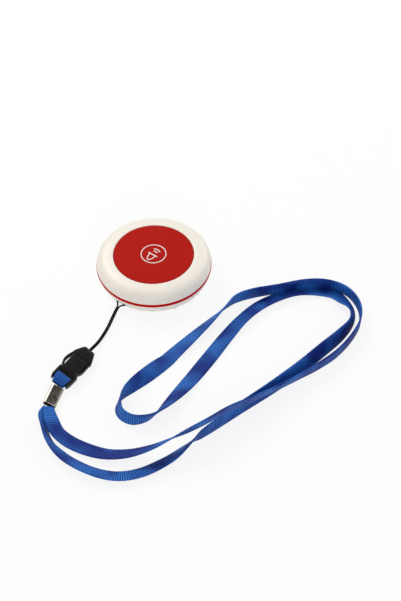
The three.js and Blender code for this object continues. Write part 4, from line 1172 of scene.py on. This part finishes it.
kept_solids = {
    "circuit_board": board_lacquer, "switch_body": chip_plastic, "switch_plunger": ceramic,
    "battery_cell": cell_nickel, "battery_clip": steel, "battery_contact": steel,
    "encoder_chip": chip_plastic, "radio_chip": chip_plastic, "crystal_can": steel,
    "capacitor": ceramic, "antenna_wire": copper,
    "board_screw_1": steel, "board_screw_2": steel,
}
for name, material in kept_solids.items():
    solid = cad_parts[name]
    for place in solid.material_slots:
        place.material = material
print("finished", len(finished_pieces), "pieces and", len(kept_solids), "plain solids")

# %% [markdown]
# The cords are declared with their real length and width. The strap leaves the crimp and goes back into
# The strap leaves the crimp and goes back into it, and the thin cord leaves the buckle and goes back into
# it through the anchor.

# %% [markdown]
# The photograph is a product picture on plain white. The floor shows the camera a nearly even white and
# keeps a faint shadow. A large soft lamp high on the left gives the shells their shading, two weaker ones
# light the back and the front, and the pale world fills in the rest.

# %% Floor and light
FLOOR_HALF = 1.6


def square(name, half, place):
    """A flat square, turned and set by a matrix."""
    corners = [(-half, -half, 0), (half, -half, 0), (half, half, 0), (-half, half, 0)]
    return make_object(name, [place @ Vector(corner) for corner in corners], [(0, 1, 2, 3)], smooth=False)


floor = square("floor", FLOOR_HALF, Matrix.Identity(4))
paper, paper_tree, paper_shader = start_material("white_paper", (246, 246, 246), 0.9)
rays = add_node(paper_tree, "ShaderNodeLightPath")
seen = math_node(paper_tree, "MAXIMUM", rays.outputs["Is Camera Ray"], rays.outputs["Is Glossy Ray"])
SHADOW_SHOWN = 0.15
glow = add_node(paper_tree, "ShaderNodeEmission", {"Color": (1, 1, 1, 1), "Strength": 1.0})
shown = math_node(paper_tree, "MULTIPLY", seen, 1 - SHADOW_SHOWN)
mix = add_node(paper_tree, "ShaderNodeMixShader", {0: shown, 1: paper_shader, 2: glow})
out = next(node for node in paper_tree.nodes if node.type == "OUTPUT_MATERIAL")
feed(paper_tree, out.inputs["Surface"], mix)
floor.data.materials.append(paper)

world = bpy.data.worlds.new("studio")
bpy.context.scene.world = world
world.use_nodes = True
world_tree = world.node_tree
background = next(node for node in world_tree.nodes if node.type == "BACKGROUND")
rays = add_node(world_tree, "ShaderNodeLightPath")
background.inputs["Color"].default_value = (1, 1, 1, 1)
WORLD_FILL = 0.5
direct = math_node(world_tree, "MAXIMUM", rays.outputs["Is Camera Ray"], rays.outputs["Is Transmission Ray"])
strength = math_node(world_tree, "MULTIPLY_ADD", direct, 1 - WORLD_FILL, WORLD_FILL)
world_tree.links.new(strength, background.inputs["Strength"])


def facing_from(place, aim):
    turn = (Vector(aim) - Vector(place)).to_track_quat("-Z", "Y")
    return Matrix.Translation(place) @ turn.to_matrix().to_4x4()


def soft_lamp(name, place, aim, size, power):
    data = bpy.data.lights.new(name, "AREA")
    data.shape = "SQUARE"
    data.size = size
    data.energy = power
    lamp = link_object(name, data)
    lamp.matrix_world = facing_from(place, aim)


SCENE_MIDDLE = (0.05, -0.03, 0.0)
soft_lamp("main_lamp", (-0.65, 0.15, 0.75), SCENE_MIDDLE, 0.5, 4.6)
soft_lamp("back_lamp", (0.1, 0.9, 0.5), SCENE_MIDDLE, 0.6, 2.5)
soft_lamp("front_lamp", (0.7, -0.7, 0.5), SCENE_MIDDLE, 0.7, 3.5)

# A dark card that is seen only in reflections, such as the one in the front of the crimp
CARD_PLACE = (0.08, 0.23, 0.38)
CARD_HALF = 0.2
card = square("dark_card", CARD_HALF, facing_from(CARD_PLACE, SCENE_MIDDLE))
card.data.materials.append(start_material("dark_card_cloth", (18, 18, 22), 0.9)[0])
card.visible_camera = card.visible_diffuse = card.visible_shadow = False

scene = bpy.context.scene
scene.render.engine = "CYCLES"
scene.render.resolution_x = 401
scene.render.resolution_y = 601
scene.view_settings.view_transform = "Standard"
